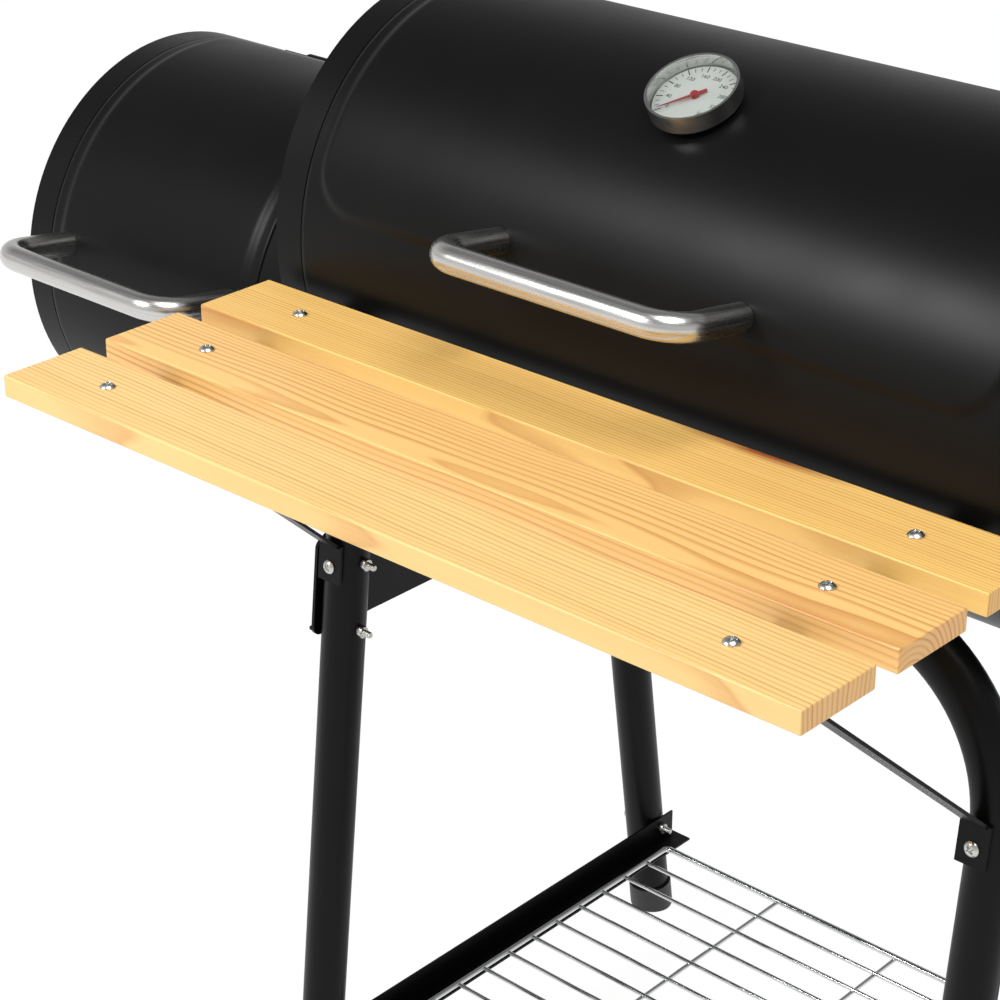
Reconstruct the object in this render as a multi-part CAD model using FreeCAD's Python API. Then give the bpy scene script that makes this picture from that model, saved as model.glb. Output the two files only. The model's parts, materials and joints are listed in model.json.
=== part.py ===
import FreeCAD, Part
import math
import os

# Offset smoker: a long cooking drum, a lower firebox drum joined to its left end,
# a slatted front shelf, splayed tube legs, two wheels and a wire rack.
# X runs along the drums, Y runs from the front to the back, Z is up.
# While modelling, x=0 is the middle of the cooking lid's handle, y=0 the drums' axes, z=0 the floor.

V = FreeCAD.Vector

# cooking drum
main_left_x = -353.0
main_length = 723.0
main_radius = 185.0
main_axis_z = 820.0
main_band = 29.5
main_lid_low_deg = -16.0

# firebox drum
fire_length = 324.0
fire_radius = 182.0
fire_axis_z = 708.0
fire_band = 29.5
fire_lid_low_deg = -28.0
drum_spacing = 11.0

# sheet metal of both drums
body_wall = 2.0
lid_wall = 1.5
lid_gap = 1.2
lid_high_deg = 130.0
ledge_wall = 1.5
ledge_width = 12.0
panel_rise = 2.5
panel_margin = 10.0
panel_low_offset_deg = 26.4
panel_high_deg = 104.0
end_inset = 3.0
end_flange = 10.0
end_wall = 2.0

# lid hinges
pin_radius = 3.0
knuckle_radius = 5.5
knuckle_gap = 0.4
knuckle_length = 16.0
pin_fit = 0.05
leaf_wall = 2.0
leaf_length = 34.0
hinge_standoff = 0.6
pin_head_radius = 4.5
pin_head_height = 2.0
main_hinge_spread = 420.0
fire_hinge_spread = 160.0

# tube handles
handle_radius = 11.0
handle_wall = 1.2
handle_standoff = 76.0
handle_drop_deg = 9.0
handle_base_deg = 17.4
fire_handle_base_deg = 12.4
handle_bend = 27.0
handle_plug = 14.0
main_handle_span = 228.2
fire_handle_span = 212.5
handle_screw_radius = 3.0
handle_screw_head = 5.5
handle_screw_head_height = 3.0
handle_screw_gap = 2.0

# thermometer on the cooking lid
gauge_deg = 62.0
gauge_radius = 36.0
gauge_depth = 14.0
gauge_wall = 2.0
gauge_lift = 4.0
gauge_boss_radius = 8.0
gauge_glass = 2.0
probe_radius = 3.0
probe_reach = 58.0
needle_wall = 0.8
needle_pivot_radius = 1.6
needle_lift = 2.5
needle_half_width = 1.6
needle_hub_radius = 3.0
needle_hub_rise = 1.0
needle_hub_drop = 1.5
needle_tip_gap = 5.0
needle_floor_gap = 0.4
needle_rest_turn_deg = 45.0
probe_gap = 0.6
glass_inset = 1.0

# grates
grate_rail_width = 20.0
grate_rail_wall = 2.0
rim_wire = 3.0
bar_wire = 2.0
bar_pitch = 15.0
grate_gap = 4.0
grate_side_clearance = 8.0
main_rail_deg = -24.0
fire_rail_deg = -37.0
rail_end_clearance = 26.0

# chimney
pipe_radius = 40.0
pipe_wall = 1.5
pipe_height = 330.0
elbow_bend = 62.0
elbow_stub = 16.0
elbow_sleeve = 26.0
chimney_rise = 52.0
chimney_flange_rim = 22.0
cap_overhang = 5.0
cap_wall = 2.0
cap_gap = 0.5
cap_pin_radius = 4.0
cap_pin_offset = 10.0
cap_lug_height = 26.0
cap_lug_half = 8.0
cap_pin_head = 3.0
cap_ear_radius = 13.0
cap_tab_half = 9.0
cap_tab_reach = 18.0
chimney_bolt_count = 4

# collar between the drums
collar_radius = 95.0
collar_wall = 2.0
collar_flange = 18.0
collar_bolt_count = 4

# air vent on the firebox
vent_radius = 46.0
vent_hole_radius = 11.0
vent_hole_circle = 27.0
vent_hole_count = 4
vent_z_drop = 62.0
vent_wall = 2.0
vent_gap = 0.5
vent_rivet_radius = 4.0
vent_rivet_rim = 4.0
vent_rivet_head = 2.5
vent_rivet_tail = 2.0
vent_rivet_tail_rim = 3.0
vent_tab_half = 9.0
vent_tab_reach = 16.0

# shelf
shelf_top_z = 790.0
slat_count = 3
slat_overhang = 15.0
slat_width = 75.0
slat_thickness = 17.6
slat_gap = 23.1
slat_round = 2.5
slat_left_inset = 1.0
shelf_gap = 10.8
shelf_screw_left = 75.5
shelf_screw_right = 80.5
bracket_wall = 3.0
bracket_flange = 30.0
bracket_depth = 25.0
bracket_front_inset = 14.0
bracket_back_clearance = 9.0
bracket_tab_reach = 12.0
bracket_tab_rise = 4.0
bracket_taper = 50.0
bracket_nose = 6.0
bracket_nose_length = 35.0
tab_low_deg = -36.0
tab_high_deg = -20.0
tab_width = 54.0
tab_bolt_deg = -28.0
tab_bolt_spread = 17.0
strut_width = 20.0
strut_wall = 2.5
strut_front_inset = 26.0
strut_top_tab = 26.0
strut_drop = 191.0
strut_tab_width = 25.0
strut_tab_height = 34.0
strut_screw_drop = 21.0
strut_screw_length = 14.0
strut_slant = 1.4
strut_right_inset = 5.0

# fasteners
shelf_screw_radius = 2.5
screw_head_radius = 6.0
screw_head_height = 3.4
cross_width = 1.5
cross_length = 7.0
cross_depth = 1.6
bolt_radius = 3.0
bolt_head_flats = 10.0
bolt_head_height = 4.0
nut_height = 5.0
shelf_nut_flats = 8.0
shelf_nut_height = 4.0
bolt_end = 8.0
screw_end = 3.0
hole_clearance = 0.1
curve_relief = 0.1
cut_margin = 5.0

# legs and frame
leg_radius = 19.0
leg_wall = 1.5
leg_top_rise = 5.0
leg_bolt_drop = 76.0
front_splay = 0.105
rear_splay = 0.145
rear_leg_inset = 31.0
leg_bolt_spacing = 61.0
right_leg_inset = 26.0
rail_deg = -35.86
rail_clearance = 11.1
rail_left_inset = 36.5
rail_bend = 134.0
right_leg_end_z = 62.0
cap_wall_plastic = 2.5
cap_height = 30.0
cap_floor = 5.0
saddle_wall = 3.0
saddle_bottom_drop = 150.0
saddle_ear_drop = 65.0
saddle_ear_margin = 17.0
saddle_half_width = 115.0
saddle_shoulder_drop = 31.0
saddle_lip = 10.0
saddle_corner = 8.0
saddle_shoulder_reach = 25.0
strap_width = 26.0
strap_wall = 3.0
strap_half_deg = 32.0
strap_bolt_deg = 20.0
strap_bolt_shift = 2.0
rail_saddle_inset = 10.0
rail_saddle_left_inset = 25.0
rail_saddle_low_drop = 23.0
rail_saddle_margin = 12.0
rail_saddle_below = 26.0
rail_saddle_above = 41.0
rail_saddle_taper = 60.0

# wheels and axle
wheel_radius = 90.0
wheel_width = 40.0
rim_radius = 66.0
rim_wall = 5.0
hub_radius = 20.0
hub_web = 6.0
wheel_clearance = 3.0
spoke_count = 6
spoke_width = 9.0
spoke_depth = 24.0
axle_radius = 6.0
axle_fit = 0.06
axle_z = 90.0
axle_nut_flats = 18.0
axle_nut_height = 8.0
axle_end_gap = 0.8
tread_groove = 3.0
tread_groove_width = 3.0
tyre_round = 6.0
rim_inset = 2.0
boss_proud = 1.0
rib_sink = 3.0
axle_tip = 2.0

# bottom rack
rack_bar_size = 25.0
rack_bar_wall = 2.0
rack_bar_bottom_z = 92.0
rack_bolt_z = 106.0
rack_end_clearance = 4.0
rack_side_clearance = 12.0
rack_bar_pitch = 34.0
rack_cross_count = 3

# places that follow from the sizes above
drum_bottom_z = main_axis_z - main_radius
slat_left_x = main_left_x + slat_left_inset
slat_length = main_length - slat_left_inset + slat_overhang
shelf_front_y = -main_radius - shelf_gap - slat_count * slat_width - (slat_count - 1) * slat_gap
left_leg_x = slat_left_x + shelf_screw_left
right_leg_x = slat_left_x + slat_length - right_leg_inset
right_strut_x = right_leg_x - strut_right_inset
right_saddle_x = right_leg_x - rail_bend - rail_saddle_inset
leg_top_z = drum_bottom_z + leg_top_rise
splay_z = drum_bottom_z - leg_bolt_drop
rail_reach = main_radius + rail_clearance + leg_radius
rail_y = rail_reach * math.cos(math.radians(rail_deg))
rail_z = main_axis_z + rail_reach * math.sin(math.radians(rail_deg))
rail_left_x = left_leg_x + rail_left_inset
left_saddle_x = rail_left_x + rail_saddle_left_inset
front_leg_y = -rail_y - front_splay * (rail_z - splay_z)
rear_leg_y = main_radius - rear_leg_inset
saddle_bottom_z = drum_bottom_z - saddle_bottom_drop
saddle_ear_z = drum_bottom_z - saddle_ear_drop
saddle_shoulder_z = drum_bottom_z - saddle_shoulder_drop
rail_saddle_low_z = drum_bottom_z - rail_saddle_low_drop
rail_saddle_edge = rail_y + leg_radius + rail_saddle_margin
rail_saddle_side_z = rail_z - rail_saddle_below
rail_saddle_top_z = rail_z + rail_saddle_above
strut_top_y = shelf_front_y + strut_front_inset
chimney_z = main_axis_z + chimney_rise
chimney_flange_radius = pipe_radius + chimney_flange_rim

parts = {}


def box(x0, x1, y0, y1, z0, z1):
    return Part.makeBox(x1 - x0, y1 - y0, z1 - z0, V(x0, y0, z0))


def rod(start, end, radius):
    along = end - start
    return Part.makeCylinder(radius, along.Length, start, along)


def tube(start, end, radius, wall):
    return rod(start, end, radius).cut(rod(start, end, radius - wall))


def fused(shapes):
    whole = shapes[0].multiFuse(shapes[1:]) if len(shapes) > 1 else shapes[0]
    return whole.removeSplitter()


def group(shapes):
    return Part.makeCompound(shapes)


def unit(vector):
    return V(vector).multiply(1.0 / vector.Length)


def drum_direction(deg):
    # Angles on a drum start at the front and rise over the top.
    return V(0, -math.cos(math.radians(deg)), math.sin(math.radians(deg)))


def drum_point(x, axis_z, radius, deg):
    return V(x, 0, axis_z) + drum_direction(deg) * radius


def sector(x0, x1, axis_z, inner, outer, deg0, deg1):
    middle = (deg0 + deg1) / 2
    corner = [drum_point(x0, axis_z, outer, deg0), drum_point(x0, axis_z, outer, deg1),
              drum_point(x0, axis_z, inner, deg1), drum_point(x0, axis_z, inner, deg0)]
    edges = [Part.Arc(corner[0], drum_point(x0, axis_z, outer, middle), corner[1]).toShape(),
             Part.makeLine(corner[1], corner[2]),
             Part.Arc(corner[2], drum_point(x0, axis_z, inner, middle), corner[3]).toShape(),
             Part.makeLine(corner[3], corner[0])]
    return Part.Face(Part.Wire(edges)).extrude(V(x1 - x0, 0, 0))


def plate_yz(outline, x0, x1):
    points = [V(x0, y, z) for y, z in outline]
    return Part.Face(Part.makePolygon(points + points[:1])).extrude(V(x1 - x0, 0, 0))


def hexagon(start, axis, flats, height):
    axis = unit(axis)
    side = axis.cross(V(0, 0, 1) if abs(axis.z) < 0.9 else V(1, 0, 0))
    side = unit(side) * (flats / math.sqrt(3))
    turn = FreeCAD.Rotation(axis, 60)
    points = [side]
    for _ in range(5):
        points.append(turn.multVec(points[-1]))
    corners = [start + point for point in points]
    return Part.Face(Part.makePolygon(corners + corners[:1])).extrude(axis * height)


def hex_bolt(seat, axis, grip):
    # The head's underside sits at the seat and the shank runs along the axis.
    axis = unit(axis)
    head = hexagon(seat - axis * bolt_head_height, axis, bolt_head_flats, bolt_head_height)
    shank = rod(seat - axis * bolt_head_height, seat + axis * (grip + nut_height + bolt_end), bolt_radius)
    nut = hexagon(seat + axis * grip, axis, bolt_head_flats, nut_height)
    nut = nut.cut(rod(seat, seat + axis * (grip + nut_height + bolt_end), bolt_radius))
    return fused([head, shank]), nut


def bolt_hole(seat, axis, grip):
    axis = unit(axis)
    return rod(seat - axis, seat + axis * (grip + 1), bolt_radius + hole_clearance)


def dome_screw(seat, axis, length, radius):
    # A low domed head with a cross recess; the seat is the head's underside.
    axis = unit(axis)
    sphere_radius = (screw_head_radius ** 2 + screw_head_height ** 2) / (2 * screw_head_height)
    centre = seat - axis * (screw_head_height - sphere_radius)
    head = Part.makeSphere(sphere_radius, centre).common(
        rod(seat - axis * screw_head_height, seat, screw_head_radius))
    side = unit(axis.cross(V(1, 0, 0) if abs(axis.x) < 0.9 else V(0, 1, 0)))
    top = seat - axis * screw_head_height
    for across in (side, axis.cross(side)):
        other = axis.cross(across)
        corners = [top + across * (cross_length / 2 * a) + other * (cross_width / 2 * b) - axis
                   for a, b in ((-1, -1), (1, -1), (1, 1), (-1, 1))]
        slot = Part.Face(Part.makePolygon(corners + corners[:1])).extrude(axis * (cross_depth + 1))
        head = head.cut(slot)
    return fused([head, rod(seat, seat + axis * length, radius)])


def bent_rod(points, radius, bend):
    # Straight runs joined by tangent arcs of one bend radius.
    pieces = []
    start = points[0]
    for before, corner, after in zip(points, points[1:], points[2:]):
        incoming = unit(corner - before)
        outgoing = unit(after - corner)
        turn = incoming.getAngle(outgoing)
        trim = bend * math.tan(turn / 2)
        arc_start = corner - incoming * trim
        arc_end = corner + outgoing * trim
        inward = unit(outgoing - incoming)
        centre = corner + inward * (bend / math.cos(turn / 2))
        pieces.append(rod(start, arc_start, radius))
        ring = Part.Wire(Part.Circle(arc_start, incoming, radius).toShape())
        pieces.append(Part.Face(ring).revolve(centre, incoming.cross(outgoing), math.degrees(turn)))
        start = arc_end
    pieces.append(rod(start, points[-1], radius))
    return fused(pieces)


def bent_tube(points, radius, wall, bend):
    return bent_rod(points, radius, bend).cut(bent_rod(points, radius - wall, bend))


class Drum:
    # The shared dimensions of one drum and its lid.
    def __init__(self, x0, x1, middle, axis_z, radius, band, low_deg):
        self.x0 = x0
        self.x1 = x1
        self.axis_z = axis_z
        self.radius = radius
        self.low_deg = low_deg
        self.lid_x0 = x0 + band
        self.lid_x1 = x1 - band
        self.middle = middle
        self.gap_deg = math.degrees(lid_gap / radius)
        self.panel_radius = radius + panel_rise
        self.panel_low_deg = low_deg + panel_low_offset_deg
        self.panel_x0 = self.lid_x0 + panel_margin
        self.panel_x1 = self.lid_x1 - panel_margin
        self.left_face = x0 + end_inset
        self.right_face = x1 - end_inset
        self.pin_line = radius + hinge_standoff + knuckle_radius


main = Drum(main_left_x, main_left_x + main_length, 0, main_axis_z, main_radius, main_band,
            main_lid_low_deg)
fire_right_x = main_left_x - drum_spacing
fire = Drum(fire_right_x - fire_length, fire_right_x, fire_right_x - fire_length / 2, fire_axis_z,
            fire_radius, fire_band, fire_lid_low_deg)
collar_z = (main_axis_z + fire_axis_z) / 2
chimney_x = main.right_face + elbow_stub + elbow_bend


def drum_shell(drum):
    shell = tube(V(drum.x0, 0, drum.axis_z), V(drum.x1, 0, drum.axis_z), drum.radius, body_wall)
    inner = drum.radius - body_wall
    opening = sector(drum.lid_x0 - lid_gap, drum.lid_x1 + lid_gap, drum.axis_z, inner - cut_margin,
                     drum.radius + cut_margin, drum.low_deg - drum.gap_deg, lid_high_deg + drum.gap_deg)
    shell = shell.cut(opening)
    ledge_deg = math.degrees(ledge_width / inner)
    deg0 = drum.low_deg - ledge_deg
    deg1 = lid_high_deg + 2 * drum.gap_deg
    ledges = []
    for edge in (drum.lid_x0, drum.lid_x1):
        ledges.append(sector(edge - ledge_width, edge + ledge_width, drum.axis_z,
                             inner - ledge_wall, inner, deg0, deg1))
    ledges.append(sector(drum.lid_x0 - ledge_width, drum.lid_x1 + ledge_width, drum.axis_z,
                         inner - ledge_wall, inner, deg0, drum.low_deg + ledge_deg))
    return fused([shell] + ledges)


def drum_end(drum, outer_x, inward):
    face = V(outer_x, 0, drum.axis_z)
    radius = drum.radius - body_wall
    inner_side = face + V(inward * end_wall, 0, 0)
    rim = face + V(inward * end_flange, 0, 0)
    return rod(face, rim, radius).cut(rod(inner_side, rim, radius - ledge_wall))


def drum_lid(drum):
    skin = sector(drum.lid_x0, drum.lid_x1, drum.axis_z, drum.radius - lid_wall, drum.radius,
                  drum.low_deg, lid_high_deg)
    panel = sector(drum.panel_x0, drum.panel_x1, drum.axis_z, drum.radius - lid_wall,
                   drum.panel_radius, drum.panel_low_deg, panel_high_deg)
    inset_deg = math.degrees(lid_wall / drum.radius)
    hollow = sector(drum.panel_x0 + lid_wall, drum.panel_x1 - lid_wall, drum.axis_z,
                    drum.radius - 2 * lid_wall, drum.panel_radius - lid_wall,
                    drum.panel_low_deg + inset_deg, panel_high_deg - inset_deg)
    return fused([skin, panel]).cut(hollow)


def hinge_places(drum, spread):
    return [drum.middle - spread / 2, drum.middle + spread / 2]


def hinge_spans(x):
    # The body leaf has the middle knuckle and the lid leaf has the outer two.
    half = knuckle_length / 2
    middle = (x - half, x + half)
    left = (x - half - knuckle_gap - knuckle_length, x - half - knuckle_gap)
    right = (x + half + knuckle_gap, x + half + knuckle_gap + knuckle_length)
    return middle, left, right


def hinge_leaf(drum, x, spans, side):
    # side is +1 for the body's leaf, behind the pin, and -1 for the lid's leaf.
    _, left, right = hinge_spans(x)
    clear_deg = math.degrees((knuckle_radius + 1) / drum.radius)
    far_deg = math.degrees(leaf_length / drum.radius)
    outer = drum.radius + leaf_wall

    def strip(x0, x1, near):
        angles = sorted((lid_high_deg + side * near, lid_high_deg + side * far_deg))
        return sector(x0, x1, drum.axis_z, drum.radius, outer, *angles)

    pieces = [strip(left[0], right[1], clear_deg)]
    near_deg = math.degrees(2 * lid_gap / drum.radius)
    for x0, x1 in spans:
        centre = drum_point(x0, drum.axis_z, drum.pin_line, lid_high_deg)
        pieces.append(strip(x0, x1, near_deg))
        pieces.append(rod(centre, centre + V(x1 - x0, 0, 0), knuckle_radius))
    leaf = fused(pieces)
    bore = pin_radius if side > 0 else pin_radius + pin_fit
    pin_start = drum_point(left[0] - cut_margin, drum.axis_z, drum.pin_line, lid_high_deg)
    pin_end = drum_point(right[1] + cut_margin, drum.axis_z, drum.pin_line, lid_high_deg)
    return leaf.cut(rod(pin_start, pin_end, bore))


def hinge_pin(drum, x):
    _, left, right = hinge_spans(x)
    start = drum_point(left[0] - knuckle_gap, drum.axis_z, drum.pin_line, lid_high_deg)
    end = drum_point(right[1] + knuckle_gap, drum.axis_z, drum.pin_line, lid_high_deg)
    along = V(pin_head_height, 0, 0)
    return fused([rod(start, end, pin_radius), rod(start - along, start, pin_head_radius),
                  rod(end, end + along, pin_head_radius)])


def handle_bases(drum, span, base_deg):
    return [drum_point(drum.middle + side * span / 2, drum.axis_z, drum.panel_radius, base_deg)
            for side in (-1, 1)]


def tube_handle(drum, span, base_deg):
    out = drum_direction(handle_drop_deg)
    left, right = handle_bases(drum, span, base_deg)
    sink = out * cut_margin
    path = [left - sink, left + out * handle_standoff, right + out * handle_standoff, right - sink]
    bar = bent_tube(path, handle_radius, handle_wall, handle_bend)
    plugs = [rod(base - sink, base + out * handle_plug, handle_radius - handle_wall)
             for base in (left, right)]
    bar = fused([bar] + plugs)
    under = rod(V(drum.x0, 0, drum.axis_z), V(drum.x1, 0, drum.axis_z), drum.panel_radius)
    bar = bar.cut(under)
    for base in (left, right):
        bar = bar.cut(rod(base - sink, base + out * (handle_plug - handle_screw_gap), handle_screw_radius))
    return bar


def handle_screw_set(drum, span, base_deg):
    out = drum_direction(handle_drop_deg)
    inside = rod(V(drum.x0, 0, drum.axis_z), V(drum.x1, 0, drum.axis_z),
                 drum.panel_radius - lid_wall)
    screws = []
    for base in handle_bases(drum, span, base_deg):
        head = rod(base - out * (lid_wall + handle_screw_head_height), base, handle_screw_head)
        head = head.common(inside)
        shank = rod(base - out * (lid_wall + handle_screw_head_height / 3),
                    base + out * (handle_plug - handle_screw_gap), handle_screw_radius)
        screws.append(fused([head, shank]))
    return screws


def handle_holes(drum, span, base_deg):
    out = drum_direction(handle_drop_deg)
    return [rod(base - out * cut_margin, base + out * cut_margin, handle_screw_radius + hole_clearance)
            for base in handle_bases(drum, span, base_deg)]


def gauge_line(distance):
    return drum_point(main.middle, main_axis_z, main.panel_radius + distance, gauge_deg)


def add_thermometer():
    floor = gauge_line(gauge_lift)
    lip = gauge_line(gauge_lift + gauge_depth)
    inner_floor = gauge_line(gauge_lift + gauge_wall)
    case = rod(floor, lip, gauge_radius).cut(rod(inner_floor, lip, gauge_radius - gauge_wall))
    boss = rod(gauge_line(-cut_margin), floor, gauge_boss_radius)
    boss = boss.cut(rod(V(main.x0, 0, main_axis_z), V(main.x1, 0, main_axis_z), main.panel_radius))
    case = fused([case, boss]).cut(rod(gauge_line(-cut_margin), floor, probe_radius))
    pivot_hole = rod(floor, inner_floor, needle_pivot_radius + pin_fit)
    parts["thermometer_case"] = case.cut(pivot_hole)
    glass_front = gauge_line(gauge_lift + gauge_depth - glass_inset)
    glass_back = gauge_line(gauge_lift + gauge_depth - glass_inset - gauge_glass)
    parts["thermometer_glass"] = rod(glass_back, glass_front, gauge_radius - gauge_wall)
    probe_tip = gauge_line(-probe_reach)
    parts["thermometer_probe"] = rod(probe_tip, gauge_line(gauge_lift - probe_gap), probe_radius)
    up = unit(drum_direction(gauge_deg))
    turn = FreeCAD.Rotation(up, -needle_rest_turn_deg)
    along = turn.multVec(up.cross(V(1, 0, 0)))
    base = gauge_line(gauge_lift + gauge_wall + needle_lift)
    reach = gauge_radius - gauge_wall - needle_tip_gap
    tip = base - along * reach
    tail = base + along * (reach / 3)
    side = turn.multVec(V(needle_half_width, 0, 0))
    outline = [tail - side, tip, tail + side]
    blade = Part.Face(Part.makePolygon(outline + outline[:1])).extrude(up * needle_wall)
    hub = rod(base - up * needle_hub_drop, base + up * (needle_wall + needle_hub_rise), needle_hub_radius)
    pivot = rod(gauge_line(gauge_lift + needle_floor_gap), base, needle_pivot_radius)
    parts["thermometer_needle"] = fused([blade, hub, pivot])


def grate_rails(drum, deg):
    inner = drum.radius - body_wall
    top = drum.axis_z + inner * math.sin(math.radians(deg))
    reach = inner * math.cos(math.radians(deg))
    x0 = drum.x0 + rail_end_clearance
    x1 = drum.x1 - rail_end_clearance
    bore = rod(V(x0, 0, drum.axis_z), V(x1, 0, drum.axis_z), inner)
    rails = []
    for side in (-1, 1):
        ys = sorted((side * (reach - grate_rail_width), side * (reach + grate_rail_width)))
        rails.append(box(x0, x1, ys[0], ys[1], top - grate_rail_wall, top).common(bore))
    return rails, top, reach


def wire_grate(x0, x1, half_width, z0):
    # A rim of thick wire with thin bars let into it, and one stiffening bar below them.
    z = z0 + rim_wire
    corners = [V(x0, -half_width, z), V(x1, -half_width, z), V(x1, half_width, z), V(x0, half_width, z)]
    wires = [rod(a, b, rim_wire) for a, b in zip(corners, corners[1:] + corners[:1])]
    wires += [Part.makeSphere(rim_wire, corner) for corner in corners]
    count = int((x1 - x0) // bar_pitch)
    pitch = (x1 - x0) / count
    for index in range(1, count):
        x = x0 + index * pitch
        wires.append(rod(V(x, -half_width, z), V(x, half_width, z), bar_wire))
    wires.append(rod(V(x0, 0, z - bar_wire), V(x1, 0, z - bar_wire), bar_wire))
    return fused(wires)


def add_grates():
    main_rails, main_top, main_reach = grate_rails(main, main_rail_deg)
    fire_rails, fire_top, fire_reach = grate_rails(fire, fire_rail_deg)
    parts["grate_rails"] = group(main_rails + fire_rails)
    names = ["cooking_grate_left", "cooking_grate_middle", "cooking_grate_right"]
    start = main.x0 + rail_end_clearance + rim_wire
    pitch = (main.x1 - rail_end_clearance + rim_wire + grate_gap - start) / len(names)
    half_width = main_reach - grate_side_clearance
    for index, name in enumerate(names):
        x0 = start + index * pitch
        parts[name] = wire_grate(x0, x0 + pitch - 2 * rim_wire - grate_gap, half_width, main_top)
    parts["charcoal_grate"] = wire_grate(fire.x0 + rail_end_clearance + rim_wire,
                                         fire.x1 - rail_end_clearance - rim_wire,
                                         fire_reach - grate_side_clearance, fire_top)


def add_chimney(bolts, nuts, right_end):
    start = V(main.right_face, 0, chimney_z)
    corner = V(chimney_x, 0, chimney_z)
    sleeve_top = V(chimney_x, 0, chimney_z + elbow_bend + elbow_sleeve)
    elbow_radius = pipe_radius - pipe_wall
    elbow = bent_tube([start, corner, sleeve_top], elbow_radius, pipe_wall, elbow_bend)
    rim = chimney_flange_radius - elbow_radius
    flange = tube(start, start + V(end_wall, 0, 0), chimney_flange_radius, rim)
    elbow = fused([elbow, flange])
    circle = (chimney_flange_radius + elbow_radius) / 2
    grip = 2 * end_wall
    for index in range(chimney_bolt_count):
        deg = 45 + 360 / chimney_bolt_count * index
        spot = drum_point(main.right_face + end_wall, chimney_z, circle, deg)
        bolt, nut = hex_bolt(spot, V(-1, 0, 0), grip)
        bolts.append(bolt)
        nuts.append(nut)
        hole = bolt_hole(spot, V(-1, 0, 0), grip)
        elbow = elbow.cut(hole)
        right_end = right_end.cut(hole)
    window = rod(start - V(end_flange, 0, 0), start, elbow_radius - pipe_wall)
    parts["main_right_end"] = right_end.cut(window)
    parts["chimney_elbow"] = elbow
    pipe_start = V(chimney_x, 0, chimney_z + elbow_bend)
    pipe_top = pipe_start + V(0, 0, pipe_height)
    pipe = tube(pipe_start, pipe_top, pipe_radius, pipe_wall)
    pin_y = pipe_radius + cap_pin_offset
    lug = box(chimney_x - cap_lug_half, chimney_x + cap_lug_half, pipe_radius - 2 * pipe_wall,
              pin_y + cap_lug_half, pipe_top.z - cap_lug_height, pipe_top.z)
    lug = lug.cut(rod(pipe_start, pipe_top, pipe_radius - pipe_wall))
    pin_base = V(chimney_x, pin_y, pipe_top.z - cap_lug_height)
    pin_top = V(chimney_x, pin_y, pipe_top.z + cap_gap + cap_wall + cap_gap)
    parts["chimney_pipe"] = fused([pipe, lug]).cut(rod(pin_base, pin_top, cap_pin_radius))
    head = rod(pin_top, pin_top + V(0, 0, cap_pin_head), cap_pin_radius + cap_pin_head)
    parts["chimney_cap_pin"] = fused([rod(pin_base, pin_top, cap_pin_radius), head])
    lid_z = pipe_top.z + cap_gap
    disc = rod(V(chimney_x, 0, lid_z), V(chimney_x, 0, lid_z + cap_wall), pipe_radius + cap_overhang)
    ear = rod(V(chimney_x, pin_y, lid_z), V(chimney_x, pin_y, lid_z + cap_wall), cap_ear_radius)
    grip_tab = box(chimney_x - cap_tab_half, chimney_x + cap_tab_half,
                   -pipe_radius - cap_overhang - cap_tab_reach, -pipe_radius, lid_z, lid_z + cap_wall)
    cap = fused([disc, ear, grip_tab])
    bore = rod(V(chimney_x, pin_y, lid_z - cap_wall), V(chimney_x, pin_y, lid_z + 2 * cap_wall),
               cap_pin_radius + pin_fit)
    parts["chimney_cap"] = cap.cut(bore)


def add_collar(bolts, nuts, left_end, fire_right_end):
    start = V(fire.right_face, 0, collar_z)
    end = V(main.left_face, 0, collar_z)
    collar = tube(start, end, collar_radius, collar_wall)
    flange_radius = collar_radius + collar_flange
    step = V(end_wall, 0, 0)
    collar = fused([collar, tube(start, start + step, flange_radius, collar_flange + 1),
                    tube(end - step, end, flange_radius, collar_flange + 1)])
    circle = collar_radius + collar_flange / 2
    grip = 2 * end_wall
    for index in range(collar_bolt_count):
        deg = 45 + 360 / collar_bolt_count * index
        for face, inward in ((start.x + end_wall, -1), (end.x - end_wall, 1)):
            spot = drum_point(face, collar_z, circle, deg)
            bolt, nut = hex_bolt(spot, V(inward, 0, 0), grip)
            bolts.append(bolt)
            nuts.append(nut)
            hole = bolt_hole(spot, V(inward, 0, 0), grip)
            collar = collar.cut(hole)
            left_end = left_end.cut(hole)
            fire_right_end = fire_right_end.cut(hole)
    window = rod(start - V(end_flange, 0, 0), end + V(end_flange, 0, 0), collar_radius - collar_wall)
    parts["smoke_collar"] = collar
    parts["main_left_end"] = left_end.cut(window)
    parts["firebox_right_end"] = fire_right_end.cut(window)


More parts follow.
